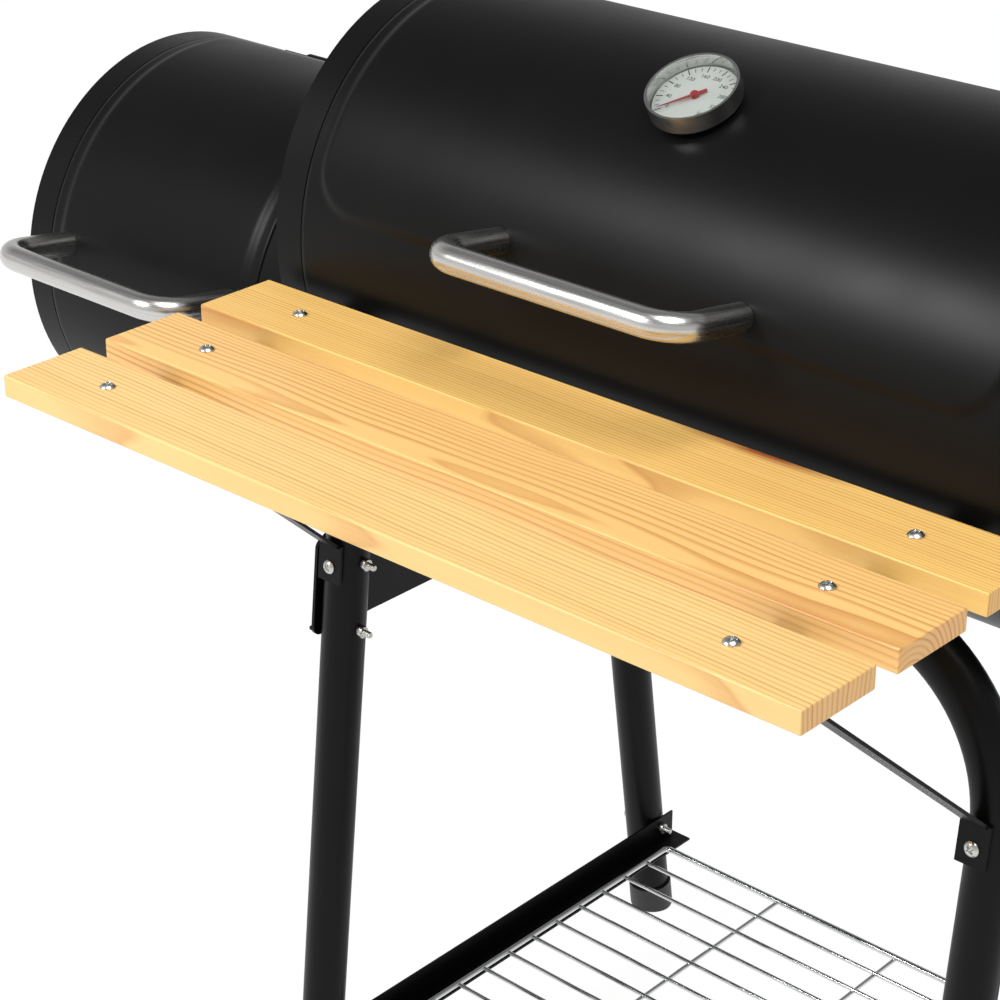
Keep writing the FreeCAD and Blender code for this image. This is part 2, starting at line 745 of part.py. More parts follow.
def add_vent(left_end):
    centre = V(fire.left_face, 0, fire_axis_z - vent_z_drop)
    out = V(-1, 0, 0)
    near = centre + out * vent_gap
    disc = rod(near, near + out * vent_wall, vent_radius)
    rim_z = centre.z - vent_radius
    tab = box(near.x - vent_wall, near.x, -vent_tab_half, vent_tab_half, rim_z - vent_tab_reach,
              rim_z + vent_tab_reach / 4)
    lip = box(near.x - vent_wall - vent_tab_half, near.x, -vent_tab_half, vent_tab_half,
              rim_z - vent_tab_reach - vent_wall, rim_z - vent_tab_reach)
    disc = fused([disc, tab, lip])
    for index in range(vent_hole_count):
        deg = 360 / vent_hole_count * index
        spot = drum_point(centre.x + end_flange, centre.z, vent_hole_circle, deg)
        hole = rod(spot, spot + out * (end_flange + cut_margin), vent_hole_radius)
        disc = disc.cut(hole)
        left_end = left_end.cut(hole)
    head = near + out * (vent_wall + vent_gap)
    inner = centre - out * end_wall
    tail = inner - out * vent_rivet_tail
    rivet = fused([rod(tail, head, vent_rivet_radius),
                   rod(head, head + out * vent_rivet_head, vent_rivet_radius + vent_rivet_rim),
                   rod(tail, inner, vent_rivet_radius + vent_rivet_tail_rim)])
    parts["air_vent_rivet"] = rivet
    parts["air_vent_disc"] = disc.cut(rod(centre, head, vent_rivet_radius + pin_fit))
    parts["firebox_left_end"] = left_end.cut(rod(inner, centre, vent_rivet_radius))


def slat_front(index):
    return shelf_front_y + index * (slat_width + slat_gap)


def shelf_screw_xs():
    return [slat_left_x + shelf_screw_left, slat_left_x + slat_length - shelf_screw_right]


def add_slats():
    names = ["shelf_slat_front", "shelf_slat_middle", "shelf_slat_back"]
    for index in range(slat_count):
        y0 = slat_front(index)
        z0 = shelf_top_z - slat_thickness
        slat = box(slat_left_x, slat_left_x + slat_length, y0, y0 + slat_width, z0, shelf_top_z)
        slat = slat.makeFillet(slat_round, slat.Edges)
        for x in shelf_screw_xs():
            centre = V(x, y0 + slat_width / 2, z0)
            top = centre + V(0, 0, slat_thickness)
            slat = slat.cut(rod(centre, top, shelf_screw_radius + hole_clearance))
        parts[names[index]] = slat


def bracket(x):
    # The angle's upright leaf hangs on the left of the screw line, clear of the strut.
    top = shelf_top_z - slat_thickness
    back = -main_radius * math.cos(math.radians(main_lid_low_deg)) - bracket_back_clearance
    front = shelf_front_y + bracket_front_inset
    flange = box(x - bracket_flange / 2, x + bracket_flange / 2, front, back, top - bracket_wall, top)
    low_point = drum_point(x, main_axis_z, main_radius, tab_low_deg)
    high_point = drum_point(x, main_axis_z, main_radius, tab_high_deg)
    outline = [(front, top), (back, top), (back, high_point.z),
               (high_point.y + bracket_tab_reach, high_point.z),
               (low_point.y + bracket_tab_reach, low_point.z + bracket_tab_rise),
               (low_point.y - bracket_tab_reach, low_point.z + bracket_tab_rise),
               (back - bracket_taper, top - bracket_depth),
               (front + bracket_nose_length, top - bracket_depth), (front, top - bracket_nose)]
    web_x = x - bracket_flange / 2
    web = plate_yz(outline, web_x, web_x + bracket_wall)
    drum = rod(V(main.x0, 0, main_axis_z), V(main.x1, 0, main_axis_z), main_radius)
    web = web.cut(drum)
    middle = web_x + bracket_wall / 2
    tab = sector(middle - tab_width / 2, middle + tab_width / 2, main_axis_z, main_radius,
                 main_radius + bracket_wall, tab_low_deg, tab_high_deg)
    return fused([flange, web, tab]), middle


def strut(x, foot_x):
    top = shelf_top_z - slat_thickness - bracket_wall
    half = strut_width / 2
    tab = box(x - half, x + half, strut_top_y, strut_top_y + strut_top_tab, top - strut_wall, top)
    bend_y = strut_top_y + strut_top_tab
    foot_z = top - strut_drop
    foot_y = leg_front_face(foot_z) - strut_wall / 2
    corners = [V(x - half, bend_y, top), V(x + half, bend_y, top),
               V(x + half, bend_y, top - strut_wall * strut_slant),
               V(x - half, bend_y, top - strut_wall * strut_slant)]
    slope = V(foot_x - x, foot_y - bend_y, foot_z - top)
    bar = Part.Face(Part.makePolygon(corners + corners[:1])).extrude(slope)
    down = V(0, -front_splay, -1) * strut_tab_height
    face_y = leg_front_face(foot_z)
    wide = strut_tab_width / 2
    corners = [V(foot_x - wide, face_y - strut_wall, foot_z), V(foot_x + wide, face_y - strut_wall, foot_z),
               V(foot_x + wide, face_y, foot_z), V(foot_x - wide, face_y, foot_z)]
    plate = Part.Face(Part.makePolygon(corners + corners[:1])).extrude(down)
    keep = box(x - strut_drop, x + strut_drop, strut_top_y, face_y, foot_z - strut_tab_height, top)
    return fused([tab, bar.common(keep), plate])


def leg_front_face(z):
    return front_leg_y + front_splay * (z - splay_z) - leg_radius * math.hypot(1, front_splay)


def add_shelf(bolts, nuts, shell):
    add_slats()
    screws = []
    shelf_nuts = []
    xs = shelf_screw_xs()
    struts = [strut(xs[0], left_leg_x), strut(xs[1], right_strut_x)]
    brackets = []
    for x in xs:
        body, middle = bracket(x)
        for side in (-1, 1):
            spot = drum_point(middle + side * tab_bolt_spread, main_axis_z,
                              main_radius + bracket_wall, tab_bolt_deg)
            inward = drum_direction(tab_bolt_deg) * -1
            bolt, nut = hex_bolt(spot, inward, bracket_wall + body_wall + curve_relief)
            bolts.append(bolt)
            nuts.append(nut)
            hole = bolt_hole(spot, inward, bracket_wall + body_wall)
            body = body.cut(hole)
            shell = shell.cut(hole)
        brackets.append(body)
    for column, x in enumerate(xs):
        for index in range(slat_count):
            y = slat_front(index) + slat_width / 2
            grip = slat_thickness + bracket_wall
            if index == 0:
                grip += strut_wall
            seat = V(x, y, shelf_top_z)
            down = V(0, 0, -1)
            screws.append(dome_screw(seat, down, grip + shelf_nut_height + screw_end, shelf_screw_radius))
            nut = hexagon(seat + down * grip, down, shelf_nut_flats, shelf_nut_height)
            shank = rod(seat, seat + down * (grip + slat_thickness), shelf_screw_radius)
            shelf_nuts.append(nut.cut(shank))
            hole = rod(seat, seat + down * (grip + 1), shelf_screw_radius + hole_clearance)
            brackets[column] = brackets[column].cut(hole)
            if index == 0:
                struts[column] = struts[column].cut(hole)
    strut_holes = []
    foot_z = shelf_top_z - slat_thickness - bracket_wall - strut_drop - strut_screw_drop
    for column, x in enumerate((left_leg_x, right_strut_x)):
        into = unit(V(0, 1, -front_splay))
        seat = V(x, leg_front_face(foot_z), foot_z) - into * (strut_wall * math.cos(math.atan(front_splay)))
        screws.append(dome_screw(seat, into, strut_screw_length, bolt_radius))
        hole = rod(seat, seat + into * strut_screw_length, bolt_radius)
        struts[column] = struts[column].cut(hole)
        strut_holes.append(hole)
    parts["shelf_bracket_left"], parts["shelf_bracket_right"] = brackets
    parts["shelf_strut_left"], parts["shelf_strut_right"] = struts
    parts["shelf_screws"] = group(screws)
    parts["shelf_nuts"] = group(shelf_nuts)
    return shell, strut_holes


def leg_axis(side, z):
    # A point's Y on a left leg's centre line; side is -1 in front and +1 behind.
    if side < 0:
        return front_leg_y + front_splay * (z - splay_z)
    return rear_leg_y - rear_splay * (z - splay_z)


def right_leg_y(side, z):
    return side * (-front_leg_y - front_splay * (z - splay_z))


def left_leg(side):
    low = V(left_leg_x, leg_axis(side, cap_floor), cap_floor)
    high = V(left_leg_x, leg_axis(side, leg_top_z), leg_top_z)
    return tube(low, high, leg_radius, leg_wall)


def tube_cap(end, along):
    # A plastic cup over the end of a tube; along points out of the tube.
    along = unit(along)
    top = end - along * (cap_height - cap_floor)
    outer = rod(top, end + along * cap_floor, leg_radius + cap_wall_plastic)
    return outer.cut(rod(end - along * cap_height, end, leg_radius))


def saddle(bolts, nuts, shell):
    x1 = left_leg_x - leg_radius
    x0 = x1 - saddle_wall
    front_low = leg_axis(-1, saddle_bottom_z) - saddle_ear_margin
    rear_low = leg_axis(1, saddle_bottom_z) + saddle_ear_margin
    front_high = leg_axis(-1, saddle_ear_z) - saddle_ear_margin
    rear_high = leg_axis(1, saddle_ear_z) + saddle_ear_margin
    reach = saddle_half_width
    outline = [(front_low, saddle_bottom_z), (rear_low, saddle_bottom_z), (rear_high, saddle_ear_z),
               (reach + saddle_shoulder_reach, saddle_shoulder_z), (reach, main_axis_z - main_radius / 2),
               (-reach, main_axis_z - main_radius / 2), (-reach - saddle_shoulder_reach, saddle_shoulder_z),
               (front_high, saddle_ear_z)]
    plate = plate_yz(outline, x0, x1)
    corners = (outline[0], outline[1], outline[2], outline[7])
    edges = [edge for edge in plate.Edges if is_corner(edge, corners)]
    plate = plate.makeFillet(saddle_corner, edges)
    lip = box(x0 - saddle_lip, x0, front_low + saddle_corner, rear_low - saddle_corner,
              saddle_bottom_z, saddle_bottom_z + saddle_wall)
    return finish_saddle([plate, lip], x0, x0 + strap_width, bolts, nuts, shell)


def is_corner(edge, corners):
    ends = [vertex.Point for vertex in edge.Vertexes]
    if abs(ends[0].y - ends[1].y) + abs(ends[0].z - ends[1].z) > 0.01:
        return False
    return any(abs(ends[0].y - y) + abs(ends[0].z - z) < 0.01 for y, z in corners)


def finish_saddle(pieces, x0, x1, bolts, nuts, shell):
    # The plate is cut to the drum, and a curved strap under the drum is bolted to it.
    strap = sector(x0, x1, main_axis_z, main_radius, main_radius + strap_wall,
                   -90 - strap_half_deg, -90 + strap_half_deg)
    drum = rod(V(main.x0, 0, main_axis_z), V(main.x1, 0, main_axis_z), main_radius)
    body = fused(pieces + [strap]).cut(drum)
    for side in (-1, 1):
        deg = -90 + side * strap_bolt_deg
        spot = drum_point((x0 + x1) / 2 + strap_bolt_shift, main_axis_z, main_radius + strap_wall, deg)
        inward = drum_direction(deg) * -1
        bolt, nut = hex_bolt(spot, inward, strap_wall + body_wall + curve_relief)
        bolts.append(bolt)
        nuts.append(nut)
        hole = bolt_hole(spot, inward, strap_wall + body_wall)
        body = body.cut(hole)
        shell = shell.cut(hole)
    return body, shell


def rail_saddle(x, bolts, nuts, shell):
    y = right_leg_y(1, rail_z)
    half = math.sqrt(main_radius ** 2 - (main_axis_z - rail_saddle_top_z) ** 2)
    taper = half - rail_saddle_taper
    outline = [(-taper, rail_saddle_low_z), (taper, rail_saddle_low_z),
               (rail_saddle_edge, rail_saddle_side_z), (rail_saddle_edge, rail_saddle_top_z),
               (-rail_saddle_edge, rail_saddle_top_z), (-rail_saddle_edge, rail_saddle_side_z)]
    plate = plate_yz(outline, x, x + saddle_wall)
    body, shell = finish_saddle([plate], x, x + strap_width, bolts, nuts, shell)
    for side in (-1, 1):
        start = V(x - cut_margin, side * y, rail_z)
        body = body.cut(rod(start, start + V(saddle_wall + 2 * cut_margin, 0, 0), leg_radius))
    return body, shell


def frame_tube(side):
    points = [V(rail_left_x, right_leg_y(side, rail_z), rail_z),
              V(right_leg_x, right_leg_y(side, rail_z), rail_z),
              V(right_leg_x, right_leg_y(side, right_leg_end_z), right_leg_end_z)]
    return bent_tube(points, leg_radius, leg_wall, rail_bend)


def add_frame(bolts, nuts, shell, strut_holes):
    legs = {-1: left_leg(-1), 1: left_leg(1)}
    tubes = {-1: frame_tube(-1), 1: frame_tube(1)}
    plate, shell = saddle(bolts, nuts, shell)
    left_rail_saddle, shell = rail_saddle(left_saddle_x, bolts, nuts, shell)
    right_rail_saddle, shell = rail_saddle(right_saddle_x - saddle_wall, bolts, nuts, shell)
    frame_bolts = []
    frame_nuts = []
    caps = []
    bars = rack_bars()
    for side in (-1, 1):
        for z in (splay_z, splay_z - leg_bolt_spacing):
            seat = V(left_leg_x - leg_radius - saddle_wall, leg_axis(side, z), z)
            grip = 2 * leg_radius + saddle_wall
            bolt, nut = hex_bolt(seat, V(1, 0, 0), grip)
            frame_bolts.append(bolt)
            frame_nuts.append(nut)
            hole = bolt_hole(seat, V(1, 0, 0), grip)
            legs[side] = legs[side].cut(hole)
            plate = plate.cut(hole)
        grip = 2 * leg_radius + rack_bar_wall
        left_seat = V(left_leg_x - leg_radius, leg_axis(side, rack_bolt_z), rack_bolt_z)
        right_seat = V(right_leg_x + leg_radius, right_leg_y(side, rack_bolt_z), rack_bolt_z)
        for index, (seat, axis) in enumerate(((left_seat, V(1, 0, 0)), (right_seat, V(-1, 0, 0)))):
            bolt, nut = hex_bolt(seat, axis, grip)
            frame_bolts.append(bolt)
            frame_nuts.append(nut)
            hole = bolt_hole(seat, axis, grip)
            bars[index] = bars[index].cut(hole)
            if index == 0:
                legs[side] = legs[side].cut(hole)
            else:
                tubes[side] = tubes[side].cut(hole)
        axle_y = right_leg_y(side, axle_z)
        reach = V(0, leg_radius + cut_margin, 0)
        middle = V(right_leg_x, axle_y, axle_z)
        tubes[side] = tubes[side].cut(rod(middle - reach, middle + reach, axle_radius))
        slope = leg_axis(side, 0) - leg_axis(side, 1)
        foot = V(left_leg_x, leg_axis(side, cap_floor), cap_floor)
        cap = tube_cap(foot, V(0, slope, -1))
        wide = 3 * leg_radius
        below = box(left_leg_x - wide, left_leg_x + wide, foot.y - wide, foot.y + wide, -cap_height, 0)
        caps.append(cap.cut(below))
        slope = right_leg_y(side, 0) - right_leg_y(side, 1)
        caps.append(tube_cap(V(right_leg_x, right_leg_y(side, right_leg_end_z), right_leg_end_z),
                             V(0, slope, -1)).cut(axle_rod()))
    legs[-1] = legs[-1].cut(strut_holes[0])
    tubes[-1] = tubes[-1].cut(strut_holes[1])
    parts["left_saddle_plate"] = plate
    parts["rail_saddle_left"] = left_rail_saddle
    parts["rail_saddle_right"] = right_rail_saddle
    parts["front_left_leg"] = legs[-1]
    parts["rear_left_leg"] = legs[1]
    parts["front_frame_tube"] = tubes[-1]
    parts["rear_frame_tube"] = tubes[1]
    parts["rack_bars"] = group(bars)
    parts["leg_caps"] = group(caps)
    parts["frame_bolts"] = group(frame_bolts)
    nuts += frame_nuts
    return shell


def rack_bars():
    bars = []
    left_x = left_leg_x + leg_radius
    right_x = right_leg_x - leg_radius
    low = rack_bar_bottom_z
    for x, out, reach in ((left_x, 1, leg_axis), (right_x, -1, right_leg_y)):
        y0 = reach(-1, rack_bolt_z) - leg_radius
        y1 = reach(1, rack_bolt_z) + leg_radius
        upright = sorted((x, x + out * rack_bar_wall))
        shelf = sorted((x, x + out * rack_bar_size))
        leaf = box(upright[0], upright[1], y0, y1, low, low + rack_bar_size)
        foot = box(shelf[0], shelf[1], y0, y1, low, low + rack_bar_wall)
        bars.append(fused([leaf, foot]))
    return bars


def add_rack():
    x0 = left_leg_x + leg_radius + rack_bar_wall + rack_end_clearance + rim_wire + nut_height + bolt_end
    x1 = right_leg_x - leg_radius - rack_bar_wall - rack_end_clearance - rim_wire - nut_height - bolt_end
    half = right_leg_y(1, rack_bolt_z) - leg_radius - rack_side_clearance
    z = rack_bar_bottom_z + rack_bar_wall + rim_wire
    corners = [V(x0, -half, z), V(x1, -half, z), V(x1, half, z), V(x0, half, z)]
    wires = [rod(a, b, rim_wire) for a, b in zip(corners, corners[1:] + corners[:1])]
    wires += [Part.makeSphere(rim_wire, corner) for corner in corners]
    count = int(2 * half // rack_bar_pitch)
    for index in range(1, count):
        y = -half + 2 * half / count * index
        wires.append(rod(V(x0, y, z), V(x1, y, z), bar_wire))
    for index in range(1, rack_cross_count + 1):
        x = x0 + (x1 - x0) / (rack_cross_count + 1) * index
        wires.append(rod(V(x, -half, z - bar_wire), V(x, half, z - bar_wire), bar_wire))
    parts["bottom_rack"] = fused(wires)


def wheel_inner_face():
    # The hub's inner end clears the plastic cap, which stands further out where the leg splays.
    cap_radius = leg_radius + cap_wall_plastic
    return right_leg_y(1, axle_z - hub_radius) + cap_radius * math.hypot(1, front_splay) + wheel_clearance


def axle_rod():
    reach = wheel_inner_face() + wheel_width + 2 * axle_end_gap + axle_nut_height + axle_tip
    return rod(V(right_leg_x, -reach, axle_z), V(right_leg_x, reach, axle_z), axle_radius)


def add_wheels():
    parts["axle"] = axle_rod()
    nuts = []
    for name, side in (("front", -1), ("rear", 1)):
        inner = wheel_inner_face()
        centre = V(right_leg_x, 0, axle_z)

        def span(start, length, radius):
            return rod(centre + V(0, side * start, 0), centre + V(0, side * (start + length), 0), radius)

        tyre = span(inner, wheel_width, wheel_radius)
        edges = [edge for edge in tyre.Edges if isinstance(edge.Curve, Part.Circle)]
        tyre = tyre.makeFillet(tyre_round, edges).cut(span(inner, wheel_width, rim_radius))
        for place in (wheel_width / 3, wheel_width * 2 / 3):
            low = inner + place - tread_groove_width / 2
            groove = span(low, tread_groove_width, wheel_radius + cut_margin)
            tyre = tyre.cut(groove.cut(span(low, tread_groove_width, wheel_radius - tread_groove)))
        rim_width = wheel_width - 2 * rim_inset
        rim = span(inner + rim_inset, rim_width, rim_radius)
        rim = rim.cut(span(inner + rim_inset, rim_width, rim_radius - rim_wall))
        middle = inner + wheel_width / 2
        web = span(middle - hub_web / 2, hub_web, rim_radius - rim_wall / 2)
        boss = span(inner - boss_proud, wheel_width + 2 * boss_proud, hub_radius)
        pieces = [rim, web, boss]
        for index in range(spoke_count):
            rib = box(right_leg_x + hub_radius - rib_sink, right_leg_x + rim_radius - rim_wall / 2,
                      side * middle - spoke_depth / 2, side * middle + spoke_depth / 2,
                      axle_z - spoke_width / 2, axle_z + spoke_width / 2)
            rib.rotate(centre, V(0, 1, 0), 360 / spoke_count * index)
            pieces.append(rib)
        bore = span(inner - cut_margin, wheel_width + 2 * cut_margin, axle_radius + axle_fit)
        hub = fused(pieces).cut(bore)
        parts[name + "_wheel_tyre"] = tyre
        parts[name + "_wheel_hub"] = hub
        start = inner + wheel_width + boss_proud + axle_end_gap
        nut = hexagon(centre + V(0, side * start, 0), V(0, side, 0), axle_nut_flats, axle_nut_height)
        nuts.append(nut.cut(axle_rod()))
    parts["axle_nuts"] = group(nuts)


def add_lids():
    body_leaves = []
    pins = []
    table = ((main, "main", main_handle_span, handle_base_deg, main_hinge_spread),
             (fire, "firebox", fire_handle_span, fire_handle_base_deg, fire_hinge_spread))
    for drum, name, span, base_deg, spread in table:
        lid = drum_lid(drum)
        for hole in handle_holes(drum, span, base_deg):
            lid = lid.cut(hole)
        if drum is main:
            lid = lid.cut(rod(gauge_line(-2 * cut_margin), gauge_line(cut_margin), probe_radius))
        parts[name + "_lid"] = lid
        parts[name + "_handle"] = tube_handle(drum, span, base_deg)
        parts[name + "_handle_screws"] = group(handle_screw_set(drum, span, base_deg))
        lid_leaves = []
        for x in hinge_places(drum, spread):
            middle, left, right = hinge_spans(x)
            body_leaves.append(hinge_leaf(drum, x, [middle], 1))
            lid_leaves.append(hinge_leaf(drum, x, [left, right], -1))
            pins.append(hinge_pin(drum, x))
        parts[name + "_lid_leaves"] = group(lid_leaves)
    parts["hinge_body_leaves"] = group(body_leaves)
    parts["hinge_pins"] = group(pins)


def build():
    bolts = []
    nuts = []
    add_lids()
    add_thermometer()
    add_grates()
    add_chimney(bolts, nuts, drum_end(main, main.right_face, -1))
    add_collar(bolts, nuts, drum_end(main, main.left_face, 1), drum_end(fire, fire.right_face, -1))
    add_vent(drum_end(fire, fire.left_face, 1))
    shell, strut_holes = add_shelf(bolts, nuts, drum_shell(main))
    shell = add_frame(bolts, nuts, shell, strut_holes)
    add_rack()
    add_wheels()
    parts["main_shell"] = shell
    parts["firebox_shell"] = drum_shell(fire)
    parts["drum_bolts"] = group(bolts)
    parts["nuts"] = group(nuts)


def export():
    # The origin moves to the middle of the whole object's base.
    whole = Part.makeCompound(list(parts.values())).optimalBoundingBox(False, False)
    shift = V(-(whole.XMin + whole.XMax) / 2, -(whole.YMin + whole.YMax) / 2, -whole.ZMin)
    print("shift", [round(value, 4) for value in shift])
    print("size", round(whole.XLength, 2), round(whole.YLength, 2), round(whole.ZLength, 2))
    os.makedirs("parts", exist_ok=True)
    for name, shape in parts.items():
        shape.translate(shift)
        solids = len(shape.Solids)
        state = "" if shape.isValid() and solids else "  CHECK"
        print(name, solids, round(shape.Volume / 1000, 2), state)
        shape.exportStep("parts/" + name + ".step")
    print(len(parts), "nodes")


build()
export()
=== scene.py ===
import json
import math
import bpy
import bmesh
import numpy as np
from functools import partial
from mathutils import Matrix, Vector


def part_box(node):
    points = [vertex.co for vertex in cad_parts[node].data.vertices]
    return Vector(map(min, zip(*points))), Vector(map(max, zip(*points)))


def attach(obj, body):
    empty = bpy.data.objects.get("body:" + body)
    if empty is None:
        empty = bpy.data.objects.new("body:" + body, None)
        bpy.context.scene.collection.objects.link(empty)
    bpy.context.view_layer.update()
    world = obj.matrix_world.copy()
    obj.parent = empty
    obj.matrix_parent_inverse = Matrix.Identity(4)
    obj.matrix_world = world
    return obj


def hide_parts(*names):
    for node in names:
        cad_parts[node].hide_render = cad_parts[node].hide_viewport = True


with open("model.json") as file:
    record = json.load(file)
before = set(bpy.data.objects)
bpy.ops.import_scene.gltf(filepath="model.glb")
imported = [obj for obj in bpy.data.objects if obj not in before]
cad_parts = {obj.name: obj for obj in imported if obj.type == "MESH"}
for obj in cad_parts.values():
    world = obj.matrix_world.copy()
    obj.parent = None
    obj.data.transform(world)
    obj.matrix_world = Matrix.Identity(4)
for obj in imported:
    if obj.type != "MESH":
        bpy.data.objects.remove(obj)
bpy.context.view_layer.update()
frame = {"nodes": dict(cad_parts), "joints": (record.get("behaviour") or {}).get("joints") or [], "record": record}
nodes = frame["nodes"]
slots = {part["node"]: part["material_slot"] for part in frame["record"]["subparts"]}
joints = {joint["name"]: joint for joint in frame["joints"]}
scene = bpy.context.scene
mm = 0.001
print("frame loaded:", len(nodes), "CAD nodes")

# The shelf's boards, by which the grain, the slats and the camera are placed.
slatLow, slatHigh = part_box("shelf_slat_front")
backLow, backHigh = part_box("shelf_slat_back")
slatSize = slatHigh - slatLow
slatPitch = (backLow.y - slatLow.y) / 2


def addNode(tree, kind, inputs=(), **settings):
    # Inputs may be a list in socket order or a dictionary by socket name; a node stands for its first output.
    node = tree.nodes.new(kind)
    for name, value in settings.items():
        setattr(node, name, value)
    pairs = inputs.items() if isinstance(inputs, dict) else enumerate(inputs)
    for key, value in pairs:
        if isinstance(value, bpy.types.Node):
            value = value.outputs[0]
        if isinstance(value, bpy.types.NodeSocket):
            tree.links.new(value, node.inputs[key])
        elif value is not None:
            node.inputs[key].default_value = value
    return node


def toLinear(hexText):
    channels = [int(hexText[i:i + 2], 16) / 255 for i in (1, 3, 5)]
    return (*[c / 12.92 if c <= 0.04045 else ((c + 0.055) / 1.055) ** 2.4 for c in channels], 1.0)


def startMaterial(name, constants):
    material = bpy.data.materials.new(name)
    material.use_nodes = True
    shader = material.node_tree.nodes["Principled BSDF"]
    for label, value in constants.items():
        shader.inputs[label].default_value = value
    return material, shader, partial(addNode, material.node_tree)


def joinShader(material, shader, sources):
    for label, source in sources.items():
        material.node_tree.links.new(source.outputs[0], shader.inputs[label])
    return material


def noiseScale(sizeMm):
    # A noise's scale is how many of its grains fit in a metre.
    return 1 / (sizeMm * mm)


# Finishes.
# Satin black powder coat on sheet steel: an even, slightly soft black with a faint orange peel.
coatValues = {"colour": "#0b0b0b", "roughness": 0.37, "ior": 1.24, "peelMm": 2.2, "peelHeightMm": 0.012,
              "cloudMm": 60.0, "cloudAmount": 0.05}


def powderCoat():
    look = coatValues
    material, shader, node = startMaterial("satinBlackPowderCoat", {
        "Base Color": toLinear(look["colour"]), "IOR": look["ior"]})
    place = node("ShaderNodeTexCoord").outputs["Object"]
    cloud = node("ShaderNodeTexNoise", {"Vector": place, "Scale": noiseScale(look["cloudMm"]), "Detail": 2.0})
    rough = node("ShaderNodeMapRange", {"Value": cloud, "To Min": look["roughness"] - look["cloudAmount"],
                                        "To Max": look["roughness"] + look["cloudAmount"]})
    peel = node("ShaderNodeTexNoise", {"Vector": place, "Scale": noiseScale(look["peelMm"]), "Detail": 2.0})
    bump = node("ShaderNodeBump", {"Height": peel, "Strength": 1.0, "Distance": look["peelHeightMm"] * mm})
    return joinShader(material, shader, {"Roughness": rough, "Normal": bump})


# Polished stainless tube: bright, with fine hairlines along the tube that stretch its reflections.
tubeValues = {"shades": ("#b4b3b1", "#e6e5e2"), "roughness": 0.27, "lineWidthMm": 1.1, "lineLengthMm": 60.0,
              "lineHeightMm": 0.008, "roughSpread": 0.12}


def stainlessTube():
    look = tubeValues
    material, shader, node = startMaterial("polishedStainlessTube", {"Metallic": 1.0})
    along = node("ShaderNodeAttribute", attribute_name="tubeAlong").outputs["Fac"]
    section = node("ShaderNodeAttribute", attribute_name="tubeSection").outputs["Vector"]
    around = node("ShaderNodeVectorMath", [section, (noiseScale(look["lineWidthMm"]),) * 3],
                  operation="MULTIPLY")
    split = node("ShaderNodeSeparateXYZ", [around])
    slow = node("ShaderNodeMath", [along, noiseScale(look["lineLengthMm"])], operation="MULTIPLY")
    place = node("ShaderNodeCombineXYZ", [split.outputs[0], split.outputs[1], slow])
    lines = node("ShaderNodeTexNoise", {"Vector": place, "Scale": 1.0, "Detail": 4.0, "Roughness": 0.6})
    rough = node("ShaderNodeMapRange", {"Value": lines, "To Min": look["roughness"] - look["roughSpread"],
                                        "To Max": look["roughness"] + look["roughSpread"]})
    colour = node("ShaderNodeMixRGB", [lines, toLinear(look["shades"][0]), toLinear(look["shades"][1])])
    bump = node("ShaderNodeBump", {"Height": lines, "Strength": 1.0, "Distance": look["lineHeightMm"] * mm})
    return joinShader(material, shader, {"Base Color": colour, "Roughness": rough, "Normal": bump})


# Planed and oiled pine: light springwood with thin amber summerwood lines that are rings on the ends.
# Each board is cut at its own place round the pith, so its lines differ from its neighbours'. A list holds
# one value for each board, from the front.
pineValues = {
    "springwood": "#f9d592", "summerwood": "#b4651f", "endShade": "#c08244", "endDarkness": 0.35,
    "tints": ["#fffaf2", "#fef2e2", "#fdf5d3"],
    "drift": "#dfae66", "driftAmount": 0.35, "driftScale": 0.9, "driftFrom": (0.35, 0.7),
    "resin": "#94491f", "resinAtMm": (505.0, 3.0), "resinHalfMm": (85.0, 9.0, 33.3), "resinStrength": 2.0,
    "pithYMm": [-170.0, 22.0, 230.0], "pithZMm": [-12.0, -25.0, -10.0],
    "slopeY": [0.02, -0.01, 0.012], "slopeZ": [0.004, 0.01, -0.004],
    "ringMm": [4.6, 4.4, 3.6],
    "ringShades": ((0.0, 0.1), (0.45, 0.06), (0.8, 0.75), (0.9, 1.0), (0.97, 0.35), (1.0, 0.1)),
    "faintestYear": 0.45, "faceContrast": 0.75, "ringRelief": 0.8, "endFrom": (0.6, 0.95),
    "wanderMm": 7.0, "wanderLengthMm": 260.0, "wanderWidthMm": 71.43, "boardStep": 3.7,
    "fibreWidthMm": 0.7, "fibreLengthMm": 70.0, "fibreFrom": (0.25, 0.75), "fibreShades": (0.93, 1.04),
    "roughness": 0.48, "ringRoughness": 0.38, "grainDepthMm": 0.02,
    "ior": 1.45, "oilWeight": 0.12, "oilRoughness": 0.3}


def perBoard(node, board, values):
    # A step for each later board adds the difference to the first board's value.
    total = values[0]
    for index in range(1, len(values)):
        step = node("ShaderNodeMath", [board, index - 0.5], operation="GREATER_THAN")
        change = values[index] - values[index - 1]
        total = node("ShaderNodeMath", [step, change, total], operation="MULTIPLY_ADD")
    return total


def grainPlace(node, place, across, shift, lengthMm, widthMm):
    # A place stretched along the board and shifted from board to board, for a noise to follow.
    return node("ShaderNodeCombineXYZ", [
        node("ShaderNodeMath", [place.outputs[0], noiseScale(lengthMm), shift], operation="MULTIPLY_ADD"),
        node("ShaderNodeMath", [across, noiseScale(widthMm)], operation="MULTIPLY"),
        node("ShaderNodeMath", [place.outputs[2], noiseScale(widthMm)], operation="MULTIPLY")])


